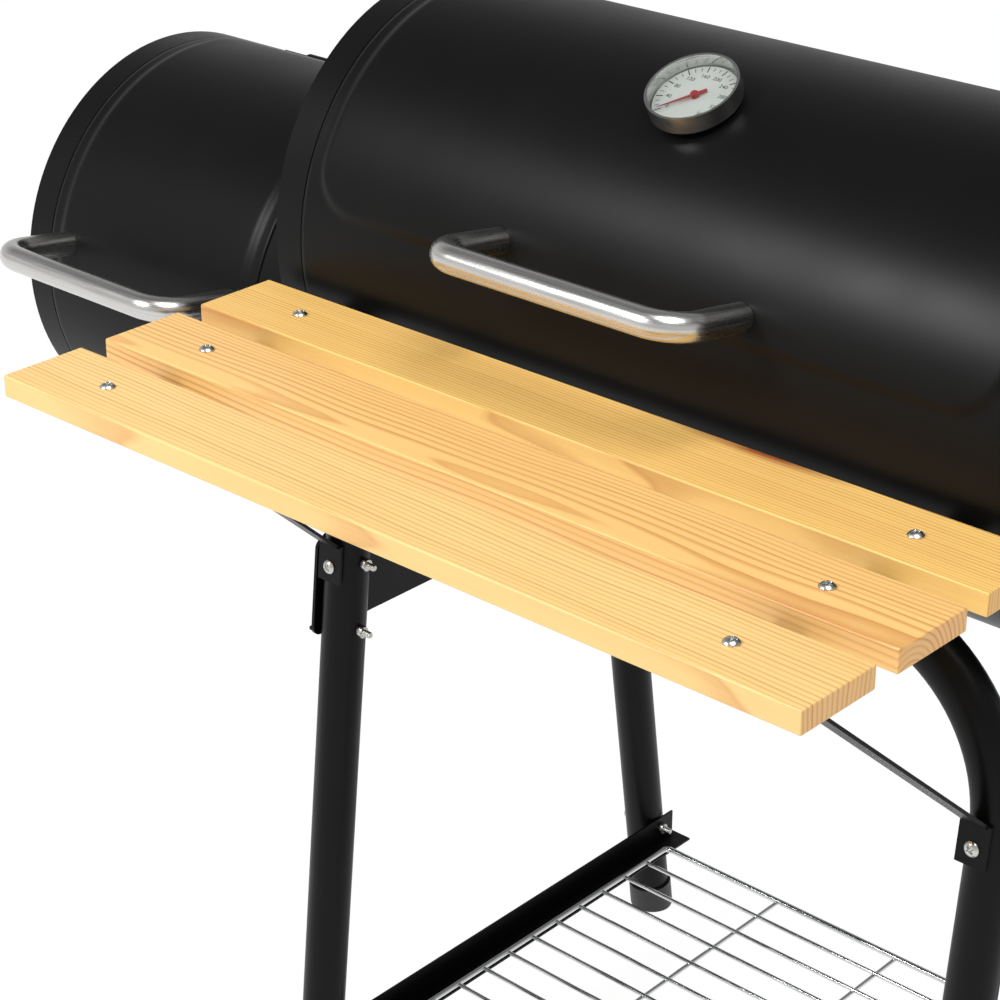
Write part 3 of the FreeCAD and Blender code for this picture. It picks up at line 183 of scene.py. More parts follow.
def pithReach(node, place, board, across, slowPlace):
    # How far a point is from the pith, which leans and wanders along each board.
    look = pineValues
    wander = node("ShaderNodeTexNoise", {"Vector": slowPlace, "Scale": 1.0, "Detail": 1.5})
    centred = node("ShaderNodeVectorMath", [wander.outputs["Color"], (0.5, 0.5, 0.5)], operation="SUBTRACT")
    sway = node("ShaderNodeVectorMath", [centred, (look["wanderMm"] * 2 * mm,) * 3], operation="MULTIPLY")
    swayParts = node("ShaderNodeSeparateXYZ", [sway])
    middle = (slatLow.x + slatHigh.x) / 2
    along = node("ShaderNodeMath", [place.outputs[0], middle], operation="SUBTRACT")
    pithY = [value * mm for value in look["pithYMm"]]
    pithZ = [slatHigh.z + value * mm for value in look["pithZMm"]]
    aways = []
    for start, pith, slopes, swing in ((across, pithY, look["slopeY"], 0),
                                       (place.outputs[2], pithZ, look["slopeZ"], 1)):
        away = node("ShaderNodeMath", [start, perBoard(node, board, pith)], operation="SUBTRACT")
        slope = perBoard(node, board, slopes)
        lean = node("ShaderNodeMath", [along, slope, away], operation="MULTIPLY_ADD")
        aways.append(node("ShaderNodeMath", [lean, swayParts.outputs[swing]], operation="ADD"))
    fromPith = node("ShaderNodeCombineXYZ", [0.0, aways[0], aways[1]])
    return node("ShaderNodeVectorMath", [fromPith], operation="LENGTH").outputs["Value"]


def summerwoodLines(node, reach, board, shift):
    # How dark a point's place in its growth ring is; some years are fainter than others.
    look = pineValues
    ringSize = perBoard(node, board, [value * mm for value in look["ringMm"]])
    phase = node("ShaderNodeMath", [reach, ringSize], operation="DIVIDE")
    late = node("ShaderNodeValToRGB", [node("ShaderNodeMath", [phase], operation="FRACT")])
    ramp = late.color_ramp
    ramp.interpolation = "EASE"
    for share, level in look["ringShades"][1:-1]:
        ramp.elements.new(share)
    for stop, (share, level) in zip(ramp.elements, look["ringShades"]):
        stop.color = (level, level, level, 1)
    year = node("ShaderNodeMath", [phase], operation="FLOOR")
    chance = node("ShaderNodeTexWhiteNoise", {"W": node("ShaderNodeMath", [year, shift], operation="ADD")},
                  noise_dimensions="1D")
    yearly = node("ShaderNodeMapRange", {"Value": chance, "To Min": look["faintestYear"], "To Max": 1.0})
    return node("ShaderNodeMath", [late, yearly], operation="MULTIPLY")


def resinStreak(node, place, fibre):
    # A reddish streak along the back board's back edge.
    look = pineValues
    fromLeft, fromBack = look["resinAtMm"]
    centre = (slatLow.x + fromLeft * mm, backHigh.y - fromBack * mm, slatHigh.z)
    away = node("ShaderNodeVectorMath", [place, centre], operation="SUBTRACT")
    shares = tuple(noiseScale(half) for half in look["resinHalfMm"])
    inStreak = node("ShaderNodeVectorMath", [away, shares], operation="MULTIPLY")
    reach = node("ShaderNodeVectorMath", [inStreak], operation="LENGTH").outputs["Value"]
    mask = node("ShaderNodeMapRange", {"Value": reach, "From Min": 1.0, "From Max": 0.1,
                                       "To Min": 0.0, "To Max": look["resinStrength"]})
    return node("ShaderNodeMath", [mask, fibre], operation="MULTIPLY")


def pineColour(node, board, slowPlace, lateness, fibre, endGrain):
    look = pineValues
    contrast = node("ShaderNodeMapRange", {"Value": endGrain, "To Min": look["faceContrast"], "To Max": 1.0})
    shown = node("ShaderNodeMath", [lateness, contrast], operation="MULTIPLY")
    wood = node("ShaderNodeMixRGB", [shown, toLinear(look["springwood"]), toLinear(look["summerwood"])])
    tints = [toLinear(text) for text in look["tints"]]
    channels = [perBoard(node, board, [tint[channel] for tint in tints]) for channel in range(3)]
    tinted = node("ShaderNodeMixRGB", [1.0, wood, node("ShaderNodeCombineXYZ", channels)],
                  blend_type="MULTIPLY")
    drift = node("ShaderNodeTexNoise", {"Vector": slowPlace, "Scale": look["driftScale"], "Detail": 2.0})
    driftAmount = node("ShaderNodeMapRange", {
        "Value": drift, "From Min": look["driftFrom"][0], "From Max": look["driftFrom"][1],
        "To Min": 0.0, "To Max": look["driftAmount"]})
    drifted = node("ShaderNodeMixRGB", [driftAmount, tinted, toLinear(look["drift"])])
    shade = node("ShaderNodeMapRange", {
        "Value": fibre, "From Min": look["fibreFrom"][0], "From Max": look["fibreFrom"][1],
        "To Min": look["fibreShades"][0], "To Max": look["fibreShades"][1]})
    streaked = node("ShaderNodeMixRGB", [1.0, drifted, node("ShaderNodeCombineXYZ", [shade] * 3)],
                    blend_type="MULTIPLY")
    darkEnd = node("ShaderNodeMath", [endGrain, look["endDarkness"]], operation="MULTIPLY")
    return node("ShaderNodeMixRGB", [darkEnd, streaked, toLinear(look["endShade"])])


def oiledPine():
    look = pineValues
    material, shader, node = startMaterial("oiledPine", {
        "IOR": look["ior"], "Coat Weight": look["oilWeight"], "Coat Roughness": look["oilRoughness"]})
    coord = node("ShaderNodeTexCoord")
    place = node("ShaderNodeSeparateXYZ", [coord.outputs["Object"]])
    firstGap = slatLow.y - (slatPitch - slatSize.y) / 2
    fromFront = node("ShaderNodeMath", [place.outputs[1], firstGap], operation="SUBTRACT")
    counted = node("ShaderNodeMath", [fromFront, slatPitch], operation="DIVIDE")
    board = node("ShaderNodeMath", [counted], operation="FLOOR")
    earlier = node("ShaderNodeMath", [board, slatPitch], operation="MULTIPLY")
    across = node("ShaderNodeMath", [fromFront, earlier], operation="SUBTRACT")
    shift = node("ShaderNodeMath", [board, look["boardStep"]], operation="MULTIPLY")
    slowPlace = grainPlace(node, place, across, shift, look["wanderLengthMm"], look["wanderWidthMm"])
    reach = pithReach(node, place, board, across, slowPlace)
    lateness = summerwoodLines(node, reach, board, shift)
    fibrePlace = grainPlace(node, place, across, shift, look["fibreLengthMm"], look["fibreWidthMm"])
    fibre = node("ShaderNodeTexNoise", {"Vector": fibrePlace, "Scale": 1.0, "Detail": 3.0, "Roughness": 0.65})
    steep = node("ShaderNodeVectorMath", [coord.outputs["Normal"]], operation="ABSOLUTE")
    facing = node("ShaderNodeSeparateXYZ", [steep])
    endGrain = node("ShaderNodeMapRange", {"Value": facing.outputs[0], "From Min": look["endFrom"][0],
                                           "From Max": look["endFrom"][1]})
    plain = pineColour(node, board, slowPlace, lateness, fibre, endGrain)
    resin = resinStreak(node, coord.outputs["Object"], fibre)
    colour = node("ShaderNodeMixRGB", [resin, plain, toLinear(look["resin"])])
    relief = node("ShaderNodeMath", [lateness, look["ringRelief"], fibre], operation="MULTIPLY_ADD")
    bump = node("ShaderNodeBump", {"Height": relief, "Strength": 1.0, "Distance": look["grainDepthMm"] * mm})
    rough = node("ShaderNodeMapRange", {"Value": lateness, "To Min": look["roughness"],
                                        "To Max": look["ringRoughness"]})
    return joinShader(material, shader, {"Base Color": colour, "Roughness": rough, "Normal": bump})


# One recipe serves the plain metals, rubber and plastics: a colour that clouds slightly between two
# near shades, and a fine relief at the size of that surface's own grain.
plainFinishes = {
    # bright zinc plate over turned steel: pale grey with soft glints
    "zincPlatedSteel": {"shades": ("#b9bab6", "#d6d6d2"), "metallic": 1.0, "roughness": (0.22, 0.36),
                        "grainMm": 0.8, "heightMm": 0.006, "cloudMm": 5.0},
    # chrome plate over drawn wire: near mirror with slight ripples of the wire
    "chromePlatedWire": {"shades": ("#c9cacb", "#dcdddd"), "metallic": 1.0, "roughness": (0.08, 0.18),
                         "grainMm": 3.0, "heightMm": 0.01, "cloudMm": 18.0},
    # spun stainless gauge case: satin bright
    "spunStainlessCase": {"shades": ("#bfbfbd", "#d8d7d4"), "metallic": 1.0, "roughness": (0.16, 0.26),
                          "grainMm": 0.6, "heightMm": 0.004, "cloudMm": 12.0},
    # red stove enamel on the needle
    "redNeedleEnamel": {"shades": ("#b3201a", "#c2291f"), "metallic": 0.0, "roughness": (0.3, 0.4),
                        "grainMm": 1.0, "heightMm": 0.003, "cloudMm": 8.0},
    # injection-moulded polypropylene: dull black with a fine spark-eroded grain
    "mouldedPolypropylene": {"shades": ("#161617", "#1f1f20"), "metallic": 0.0, "roughness": (0.45, 0.6),
                             "grainMm": 1.1, "heightMm": 0.03, "cloudMm": 40.0},
    # moulded rubber: matt charcoal that greys where it scuffs
    "mouldedRubber": {"shades": ("#1b1b1b", "#2b2a29"), "metallic": 0.0, "roughness": (0.7, 0.88),
                      "grainMm": 1.6, "heightMm": 0.05, "cloudMm": 25.0},
    # white dial enamel: flat and clean
    "whiteDialEnamel": {"shades": ("#ecebe6", "#f4f3ef"), "metallic": 0.0, "roughness": (0.35, 0.45),
                        "grainMm": 0.9, "heightMm": 0.003, "cloudMm": 15.0},
    # black screen-printed ink on the dial
    "blackDialInk": {"shades": ("#121212", "#1c1c1c"), "metallic": 0.0, "roughness": (0.5, 0.6),
                     "grainMm": 0.5, "heightMm": 0.002, "cloudMm": 6.0},
}


def plainFinish(name):
    look = plainFinishes[name]
    material, shader, node = startMaterial(name, {"Metallic": look["metallic"]})
    place = node("ShaderNodeTexCoord").outputs["Object"]
    cloud = node("ShaderNodeTexNoise", {"Vector": place, "Scale": noiseScale(look["cloudMm"]), "Detail": 3.0})
    colour = node("ShaderNodeMixRGB", [cloud, toLinear(look["shades"][0]), toLinear(look["shades"][1])])
    rough = node("ShaderNodeMapRange", {"Value": cloud, "From Min": 0.3, "From Max": 0.7,
                                        "To Min": look["roughness"][0], "To Max": look["roughness"][1]})
    grain = node("ShaderNodeTexNoise", {"Vector": place, "Scale": noiseScale(look["grainMm"]), "Detail": 2.0})
    bump = node("ShaderNodeBump", {"Height": grain, "Strength": 1.0, "Distance": look["heightMm"] * mm})
    return joinShader(material, shader, {"Base Color": colour, "Roughness": rough, "Normal": bump})


# Flat soda-lime glass: clear, with a faint smear in its polish.
glassValues = {"colour": "#f4f8f7", "ior": 1.5, "smearMm": 14.0, "smearRoughness": 0.08}


def gaugeGlass():
    look = glassValues
    material, shader, node = startMaterial("gaugeGlass", {
        "Base Color": toLinear(look["colour"]), "IOR": look["ior"], "Transmission Weight": 1.0})
    place = node("ShaderNodeTexCoord").outputs["Object"]
    smear = node("ShaderNodeTexNoise", {"Vector": place, "Scale": noiseScale(look["smearMm"]), "Detail": 2.0})
    rough = node("ShaderNodeMapRange", {"Value": smear, "To Min": 0.0, "To Max": look["smearRoughness"]})
    return joinShader(material, shader, {"Roughness": rough})


coat = powderCoat()
stainless = stainlessTube()
pine = oiledPine()
finishes = {name: plainFinish(name) for name in plainFinishes}
slotFinish = {
    "black_steel": coat, "stainless_tube": stainless, "zinc_steel": finishes["zincPlatedSteel"],
    "chrome_wire": finishes["chromePlatedWire"], "gauge_steel": finishes["spunStainlessCase"],
    "gauge_glass": gaugeGlass(), "needle_paint": finishes["redNeedleEnamel"], "pine": pine,
    "black_plastic": finishes["mouldedPolypropylene"], "black_rubber": finishes["mouldedRubber"]}
for name, part in nodes.items():
    for holder in part.material_slots:
        holder.material = slotFinish[slots[name]]
print("finishes made:", len(slotFinish))


# Shared ways of making a piece. Points nearer than this are one point.
weldM = 1e-6


def newTree(name, sizes):
    # Sizes are the tree's named inputs, each with its socket type.
    tree = bpy.data.node_groups.new(name, "GeometryNodeTree")
    tree.interface.new_socket("Geometry", in_out="OUTPUT", socket_type="NodeSocketGeometry")
    tree.interface.new_socket("Geometry", in_out="INPUT", socket_type="NodeSocketGeometry")
    for label, kind in sizes.items():
        tree.interface.new_socket(label, in_out="INPUT", socket_type="NodeSocket" + kind)
    tree.interface.new_socket("Material", in_out="INPUT", socket_type="NodeSocketMaterial")
    sockets = tree.nodes.new("NodeGroupInput").outputs
    return tree, sockets, partial(addNode, tree)


def endTree(tree, node, geometry, sockets, smooth=True):
    whole = node("GeometryNodeRealizeInstances", [geometry])
    shaded = node("GeometryNodeSetShadeSmooth", {"Geometry": whole, "Shade Smooth": smooth})
    coated = node("GeometryNodeSetMaterial", {"Geometry": shaded, "Material": sockets["Material"]})
    tree.links.new(coated.outputs[0], tree.nodes.new("NodeGroupOutput").inputs[0])
    return tree


def pointMesh(name, points, edges=(), along=None):
    mesh = bpy.data.meshes.new(name)
    mesh.from_pydata([tuple(point) for point in points], list(edges), [])
    if along is not None:
        mesh.attributes.new("along", "FLOAT_VECTOR", "POINT").data.foreach_set(
            "vector", np.array([tuple(a) for a in along], dtype=np.float32).ravel())
    return mesh


def grow(name, tree, values, material, start=None, extra=()):
    piece = bpy.data.objects.new(name, start or pointMesh(name + "Start", []))
    scene.collection.objects.link(piece)
    modifier = piece.modifiers.new("shape", "NODES")
    modifier.node_group = tree
    given = dict(values, Material=material)
    for item in tree.interface.items_tree:
        if item.in_out == "INPUT" and item.name in given:
            modifier[item.identifier] = given[item.name]
    for kind, settings in extra:
        finish = piece.modifiers.new(kind.lower(), kind)
        for label, value in settings.items():
            setattr(finish, label, value)
    depsgraph = bpy.context.evaluated_depsgraph_get()
    grown = bpy.data.meshes.new_from_object(piece.evaluated_get(depsgraph), preserve_all_data_layers=True,
                                            depsgraph=depsgraph)
    piece.modifiers.clear()
    piece.data = grown
    if not grown.materials:
        grown.materials.append(material)
    return piece


def settle(piece, body, slot, *replaced):
    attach(piece, body)
    if replaced:
        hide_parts(*replaced)
    return piece


# Lids.
# Each lid is rolled sheet with one raised panel, pressed with a soft shoulder and round corners.
def lidTree():
    tree, size, node = newTree("pressedLid", {
        "Length": "Float", "Radius": "Float", "Low Angle": "Float", "High Angle": "Float",
        "Panel Centre": "Vector", "Panel Half Size": "Vector", "Panel Corner": "Float",
        "Panel Shoulder": "Float", "Panel Rise": "Float", "Axis": "Vector",
        "Columns": "Int", "Rows": "Int"})
    sweep = node("ShaderNodeMath", [size["High Angle"], size["Low Angle"]], operation="SUBTRACT")
    arc = node("ShaderNodeMath", [sweep, size["Radius"]], operation="MULTIPLY")
    middle = node("ShaderNodeMath", [sweep, 0.5, size["Low Angle"]], operation="MULTIPLY_ADD")
    sheet = node("GeometryNodeMeshGrid", [size["Length"], arc, size["Columns"], size["Rows"]])
    place = node("GeometryNodeInputPosition")
    flat = node("ShaderNodeSeparateXYZ", [place])
    offset = node("ShaderNodeVectorMath", [node("ShaderNodeVectorMath", [place, size["Panel Centre"]],
                                                operation="SUBTRACT")], operation="ABSOLUTE")
    corner = node("ShaderNodeCombineXYZ", [size["Panel Corner"], size["Panel Corner"], 0.0])
    straight = node("ShaderNodeVectorMath", [size["Panel Half Size"], corner], operation="SUBTRACT")
    past = node("ShaderNodeVectorMath", [offset, straight], operation="SUBTRACT")
    pastCorner = node("ShaderNodeVectorMath", [past, (0, 0, 0)], operation="MAXIMUM")
    outside = node("ShaderNodeVectorMath", [pastCorner], operation="LENGTH").outputs["Value"]
    pastXY = node("ShaderNodeSeparateXYZ", [past])
    inside = node("ShaderNodeMath", [node("ShaderNodeMath", [pastXY.outputs[0], pastXY.outputs[1]],
                                          operation="MAXIMUM"), 0.0], operation="MINIMUM")
    edge = node("ShaderNodeMath", [node("ShaderNodeMath", [outside, inside], operation="ADD"),
                                   size["Panel Corner"]], operation="SUBTRACT")
    depth = node("ShaderNodeMath", [edge, -1.0], operation="MULTIPLY")
    rise = node("ShaderNodeMapRange", {"Value": depth, "From Min": 0.0, "From Max": size["Panel Shoulder"],
                                       "To Min": 0.0, "To Max": size["Panel Rise"]},
                interpolation_type="SMOOTHERSTEP")
    radius = node("ShaderNodeMath", [rise, size["Radius"]], operation="ADD")
    turned = node("ShaderNodeMath", [flat.outputs[1], size["Radius"]], operation="DIVIDE")
    angle = node("ShaderNodeMath", [turned, middle], operation="ADD")
    cosine = node("ShaderNodeMath", [angle], operation="COSINE")
    sine = node("ShaderNodeMath", [angle], operation="SINE")
    forward = node("ShaderNodeMath", [cosine, radius], operation="MULTIPLY")
    back = node("ShaderNodeMath", [forward, -1.0], operation="MULTIPLY")
    up = node("ShaderNodeMath", [sine, radius], operation="MULTIPLY")
    curled = node("ShaderNodeCombineXYZ", [flat.outputs[0], back, up])
    rolled = node("ShaderNodeVectorMath", [curled, size["Axis"]], operation="ADD")
    bent = node("GeometryNodeSetPosition", {"Geometry": sheet, "Position": rolled})
    return endTree(tree, node, bent, size)


def makeLid(name, node, endNode, body, sizes, tree):
    low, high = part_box(node)
    endLow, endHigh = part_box(endNode)
    axis = ((low.x + high.x) / 2, (endLow.y + endHigh.y) / 2, (endLow.z + endHigh.z) / 2)
    length = high.x - low.x
    lowAngle, highAngle = math.radians(sizes["lowDeg"]), math.radians(sizes["highDeg"])
    panelLow, panelHigh = math.radians(sizes["panelLowDeg"]), math.radians(sizes["panelHighDeg"])
    radius = sizes["radiusMm"] * mm
    centre = ((panelLow + panelHigh) / 2 - (lowAngle + highAngle) / 2) * radius
    half = (panelHigh - panelLow) / 2 * radius
    cell = sizes["meshMm"] * mm
    values = {
        "Length": length, "Radius": radius, "Low Angle": lowAngle, "High Angle": highAngle,
        "Panel Centre": (0.0, centre, 0.0),
        "Panel Half Size": (length / 2 - sizes["marginMm"] * mm, half, 0.0),
        "Panel Corner": sizes["cornerMm"] * mm, "Panel Shoulder": sizes["shoulderMm"] * mm,
        "Panel Rise": sizes["riseMm"] * mm, "Axis": axis,
        "Columns": int(length / cell), "Rows": int((highAngle - lowAngle) * radius / cell)}
    wall = ("SOLIDIFY", {"thickness": sizes["wallMm"] * mm, "offset": -1.0})
    return settle(grow(name, tree, values, coat, extra=[wall]), body, "black_steel", node)


cookingLid = {"radiusMm": 185.0, "lowDeg": -16.0, "highDeg": 130.0, "panelLowDeg": 10.4,
              "panelHighDeg": 104.0, "marginMm": 10.0, "cornerMm": 44.0, "shoulderMm": 9.0, "riseMm": 2.5,
              "wallMm": 1.5, "meshMm": 3.0}
fireboxLid = dict(cookingLid, radiusMm=182.0, lowDeg=-28.0, panelLowDeg=-1.6, cornerMm=26.0)
pressedLid = lidTree()
makeLid("cookingLid", "main_lid", "main_left_end", "main_lid", cookingLid, pressedLid)
makeLid("fireboxLid", "firebox_lid", "firebox_left_end", "firebox_lid", fireboxLid, pressedLid)
print("lids made")


# Tube handles.
def handleTree():
    tree, size, node = newTree("bentTubeHandle", {"Tube Radius": "Float", "Bend Radius": "Float",
                                                  "Bend Steps": "Int", "Sides": "Int"})
    path = node("GeometryNodeMeshToCurve", [size["Geometry"]])
    bent = node("GeometryNodeFilletCurve", {"Curve": path, "Radius": size["Bend Radius"],
                                            "Count": size["Bend Steps"]}, mode="POLY")
    fine = node("GeometryNodeStoreNamedAttribute", {
        "Geometry": bent, "Name": "tubeAlong",
        "Value": node("GeometryNodeSplineParameter").outputs["Length"]}, data_type="FLOAT", domain="POINT")
    ring = node("GeometryNodeCurvePrimitiveCircle", {"Resolution": size["Sides"],
                                                     "Radius": size["Tube Radius"]})
    marked = node("GeometryNodeStoreNamedAttribute", {
        "Geometry": ring, "Name": "tubeSection", "Value": node("GeometryNodeInputPosition")},
        data_type="FLOAT_VECTOR", domain="POINT")
    swept = node("GeometryNodeCurveToMesh", {"Curve": fine, "Profile Curve": marked, "Fill Caps": True})
    return endTree(tree, node, swept, size)


def makeHandle(name, node, body, sizes, tree):
    low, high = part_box(node)
    radius = sizes["radiusMm"] * mm
    tilt = math.radians(sizes["tiltDeg"])
    out = Vector((0.0, -math.cos(tilt), math.sin(tilt)))
    barY, barZ = low.y + radius, high.z - radius
    left, right = low.x + radius, high.x - radius
    reach = sizes["reachMm"] * mm
    front = [Vector((x, barY, barZ)) for x in (left, right)]
    points = [front[0] - out * reach, front[0], front[1], front[1] - out * reach]
    start = pointMesh(name + "Path", points, [(0, 1), (1, 2), (2, 3)])
    values = {"Tube Radius": radius, "Bend Radius": sizes["bendMm"] * mm, "Bend Steps": sizes["bendSteps"],
              "Sides": sizes["sides"]}
    return settle(grow(name, tree, values, stainless, start), body, "stainless_tube", node)


tubeHandle = {"radiusMm": 11.0, "tiltDeg": 9.0, "reachMm": 77.0, "bendMm": 27.0, "bendSteps": 14, "sides": 40}
bentTube = handleTree()
makeHandle("cookingLidHandle", "main_handle", "main_lid", tubeHandle, bentTube)
makeHandle("fireboxLidHandle", "firebox_handle", "firebox_lid", tubeHandle, bentTube)
print("handles made")


# Shelf slats.
def slatTree():
    tree, size, node = newTree("shelfSlats", {"Count": "Int", "Board": "Vector", "First": "Vector",
                                              "Pitch": "Float"})
    step = node("ShaderNodeCombineXYZ", [0.0, size["Pitch"], 0.0])
    places = node("GeometryNodeMeshLine", {"Count": size["Count"], "Start Location": size["First"],
                                           "Offset": step})
    board = node("GeometryNodeMeshCube", {"Size": size["Board"]})
    boards = node("GeometryNodeInstanceOnPoints", {"Points": places, "Instance": board})
    return endTree(tree, node, boards, size)


shelfSlats = {"count": 3, "roundMm": 1.5, "roundSteps": 5}
slatFinish = ("BEVEL", {"width": shelfSlats["roundMm"] * mm, "segments": shelfSlats["roundSteps"],
                        "limit_method": "ANGLE", "harden_normals": True})
slats = grow("shelfSlats", slatTree(), {"Count": shelfSlats["count"], "Board": tuple(slatSize),
                                        "First": tuple((slatLow + slatHigh) / 2), "Pitch": slatPitch},
             pine, extra=[slatFinish])
settle(slats, "smoker_frame", "pine", "shelf_slat_front", "shelf_slat_middle", "shelf_slat_back")
print("slats made")


# Screws, bolts and nuts.
def looseParts(node):
    # Head end, direction from head to tip, and length of each separate solid in a CAD node.
    shape = bmesh.new()
    shape.from_mesh(nodes[node].data)
    bmesh.ops.remove_doubles(shape, verts=shape.verts, dist=weldM)
    seen, found = set(), []
    for first in shape.verts:
        if first.index in seen:
            continue
        seen.add(first.index)
        waiting, group = [first], []
        while waiting:
            here = waiting.pop()
            group.append(tuple(here.co))
            for edge in here.link_edges:
                other = edge.other_vert(here)
                if other.index not in seen:
                    seen.add(other.index)
                    waiting.append(other)
        points = np.array(group)
        middle = points.mean(0)
        spread, directions = np.linalg.eigh(np.cov((points - middle).T))
        lone = 0 if spread[1] - spread[0] > spread[2] - spread[1] else 2
        axis = directions[:, lone]
        along = (points - middle) @ axis
        # The head is the end that is clearly wider.
        wide = np.linalg.norm((points - middle) - np.outer(along, axis), axis=1)
        halfway = (along.min() + along.max()) / 2
        if wide[along > halfway].max() > wide[along < halfway].max() + 0.1 * mm:
            axis, along = -axis, -along
        start = middle + axis * along.min()
        length = float(along.max() - along.min())
        found.append({"start": Vector(start), "along": Vector(axis), "length": length})
    shape.free()
    return found


def turnedPart(name, rings, steps, shapeRule):
    # Rings are (radius, height) pairs from one end to the other; the rule may move each point.
    shape = bmesh.new()
    rows = []
    for radius, height in rings:
        if radius == 0:
            rows.append([shape.verts.new(shapeRule(0, height, 0))] * steps)
            continue
        turns = [math.tau * index / steps for index in range(steps)]
        rows.append([shape.verts.new(shapeRule(radius, height, turn)) for turn in turns])
    for row, following in zip(rows, rows[1:]):
        for index in range(steps):
            corners = [row[index], following[index], following[index - steps + 1], row[index - steps + 1]]
            single = list(dict.fromkeys(corners))
            if len(single) > 2:
                shape.faces.new(single)
    bmesh.ops.remove_doubles(shape, verts=shape.verts, dist=weldM)
    bmesh.ops.recalc_face_normals(shape, faces=shape.faces)
    mesh = bpy.data.meshes.new(name)
    shape.to_mesh(mesh)
    shape.free()
    return mesh


# A hexagon's points are laid this share of its flats out, past its corners, and drawn in to its flats.
hexOutside = 0.6


def hexReach(flats, angle):
    return flats / 2 / math.cos((angle + math.pi / 6) % (math.pi / 3) - math.pi / 6)


threadValues = {"pitchMm": 1.0, "depthMm": 0.35, "ringsPerTurn": 4, "plainTipMm": 0.8}


def threadRings(radius, start, length):
    step = threadValues["pitchMm"] / threadValues["ringsPerTurn"]
    end = length - threadValues["plainTipMm"]
    return [(radius, start + step * index) for index in range(int((end - start) / step))]


def threadPoint(radius, height, angle, threadStart):
    turn = height / threadValues["pitchMm"] - angle / math.tau
    fade = min(1.0, max(0.0, (height - threadStart) / threadValues["pitchMm"]))
    ridge = threadValues["depthMm"] * (abs((turn % 1.0) * 2 - 1) - 1.0) * fade
    return radius + ridge


# Pan head with a cross recess. A recess wall slopes over crossSideMm at its sides and crossEndMm at its ends.
shelfScrew = {"headRadiusMm": 6.0, "headMm": 3.4, "domeMm": 2.448, "domePower": 3.2, "domeRings": 15,
              "rimMm": 2.55, "underRadiusMm": 5.76, "crossArmMm": 3.4, "crossHalfMm": 0.85,
              "crossDeepMm": 1.7, "crossSideMm": 0.4, "crossEndMm": 0.9, "shankRadiusMm": 2.5,
              "tipRadiusMm": 1.5, "threadMm": 10.0, "steps": 48, "turnSpread": math.tau, "seed": 11}


def screwMesh(length, sizes):
    headRadius, shankRadius = sizes["headRadiusMm"], sizes["shankRadiusMm"]
    threadStart = length - sizes["threadMm"]
    rings = [(headRadius * share, 0.0) for share in np.linspace(0, 1, sizes["domeRings"])]
    rings += [(headRadius, sizes["rimMm"]), (sizes["underRadiusMm"], sizes["headMm"])]
    rings += [(shankRadius, sizes["headMm"])] + threadRings(shankRadius, threadStart, length)
    rings += [(sizes["tipRadiusMm"], length), (0, length)]

    def rule(radius, height, angle):
        if height == 0:
            x, y = radius * math.cos(angle), radius * math.sin(angle)
            height = sizes["domeMm"] * (radius / headRadius) ** sizes["domePower"]
            side = (sizes["crossHalfMm"] - min(abs(x), abs(y))) / sizes["crossSideMm"] + 0.5
            end = (sizes["crossArmMm"] - max(abs(x), abs(y))) / sizes["crossEndMm"]
            height += sizes["crossDeepMm"] * min(1.0, max(0.0, side)) * min(1.0, max(0.0, end))
        elif threadStart <= height < length:
            radius = threadPoint(radius, height, angle, threadStart)
        return (radius * math.cos(angle) * mm, radius * math.sin(angle) * mm, height * mm)

    return turnedPart("panHeadScrew", rings, sizes["steps"], rule)


frameBolt = {"flatsMm": 10.0, "faceRadiusMm": 4.2, "headMm": 4.0, "chamferMm": 0.7, "chamferLift": 2.2,
             "shankRadiusMm": 3.0, "tipRadiusMm": 2.25, "threadMm": 16.0, "steps": 24, "turnSpread": 0.0,
             "seed": 21}
drumBolt = dict(frameBolt, threadMm=12.0, seed=31)


def chamferLift(sizes, angle):
    # The chamfer runs further down at a hexagon's corners.
    corner = hexReach(sizes["flatsMm"], angle) / (sizes["flatsMm"] / 2) - 1.0
    return sizes["chamferMm"] * max(0.0, corner) * sizes["chamferLift"]


def boltMesh(length, sizes):
    flats, shankRadius, head = sizes["flatsMm"], sizes["shankRadiusMm"], sizes["headMm"]
    threadStart = length - sizes["threadMm"]
    rings = [(0, 0), (sizes["faceRadiusMm"], 0), (flats / 2, 0), (flats * hexOutside, sizes["chamferMm"]),
             (flats * hexOutside, head), (shankRadius, head)]
    rings += threadRings(shankRadius, threadStart, length)
    rings += [(sizes["tipRadiusMm"], length), (0, length)]

    def rule(radius, height, angle):
        if height <= head and radius > shankRadius:
            radius = min(radius, hexReach(flats, angle))
            if height == sizes["chamferMm"]:
                height += chamferLift(sizes, angle)
        elif threadStart <= height < length and radius > 0:
            radius = threadPoint(radius, height, angle, threadStart)
        return (radius * math.cos(angle) * mm, radius * math.sin(angle) * mm, height * mm)

    return turnedPart("hexBolt", rings, sizes["steps"], rule)


boltNut = {"flatsMm": 10.0, "boreRadiusMm": 2.9, "chamferMm": 0.7, "chamferLift": 2.2, "steps": 24,
           "turnSpread": 0.0, "seed": 41}
shelfNut = dict(boltNut, flatsMm=8.0, boreRadiusMm=2.4, turnSpread=0.6, seed=51)
axleNut = dict(boltNut, flatsMm=18.0, boreRadiusMm=5.9, seed=61)


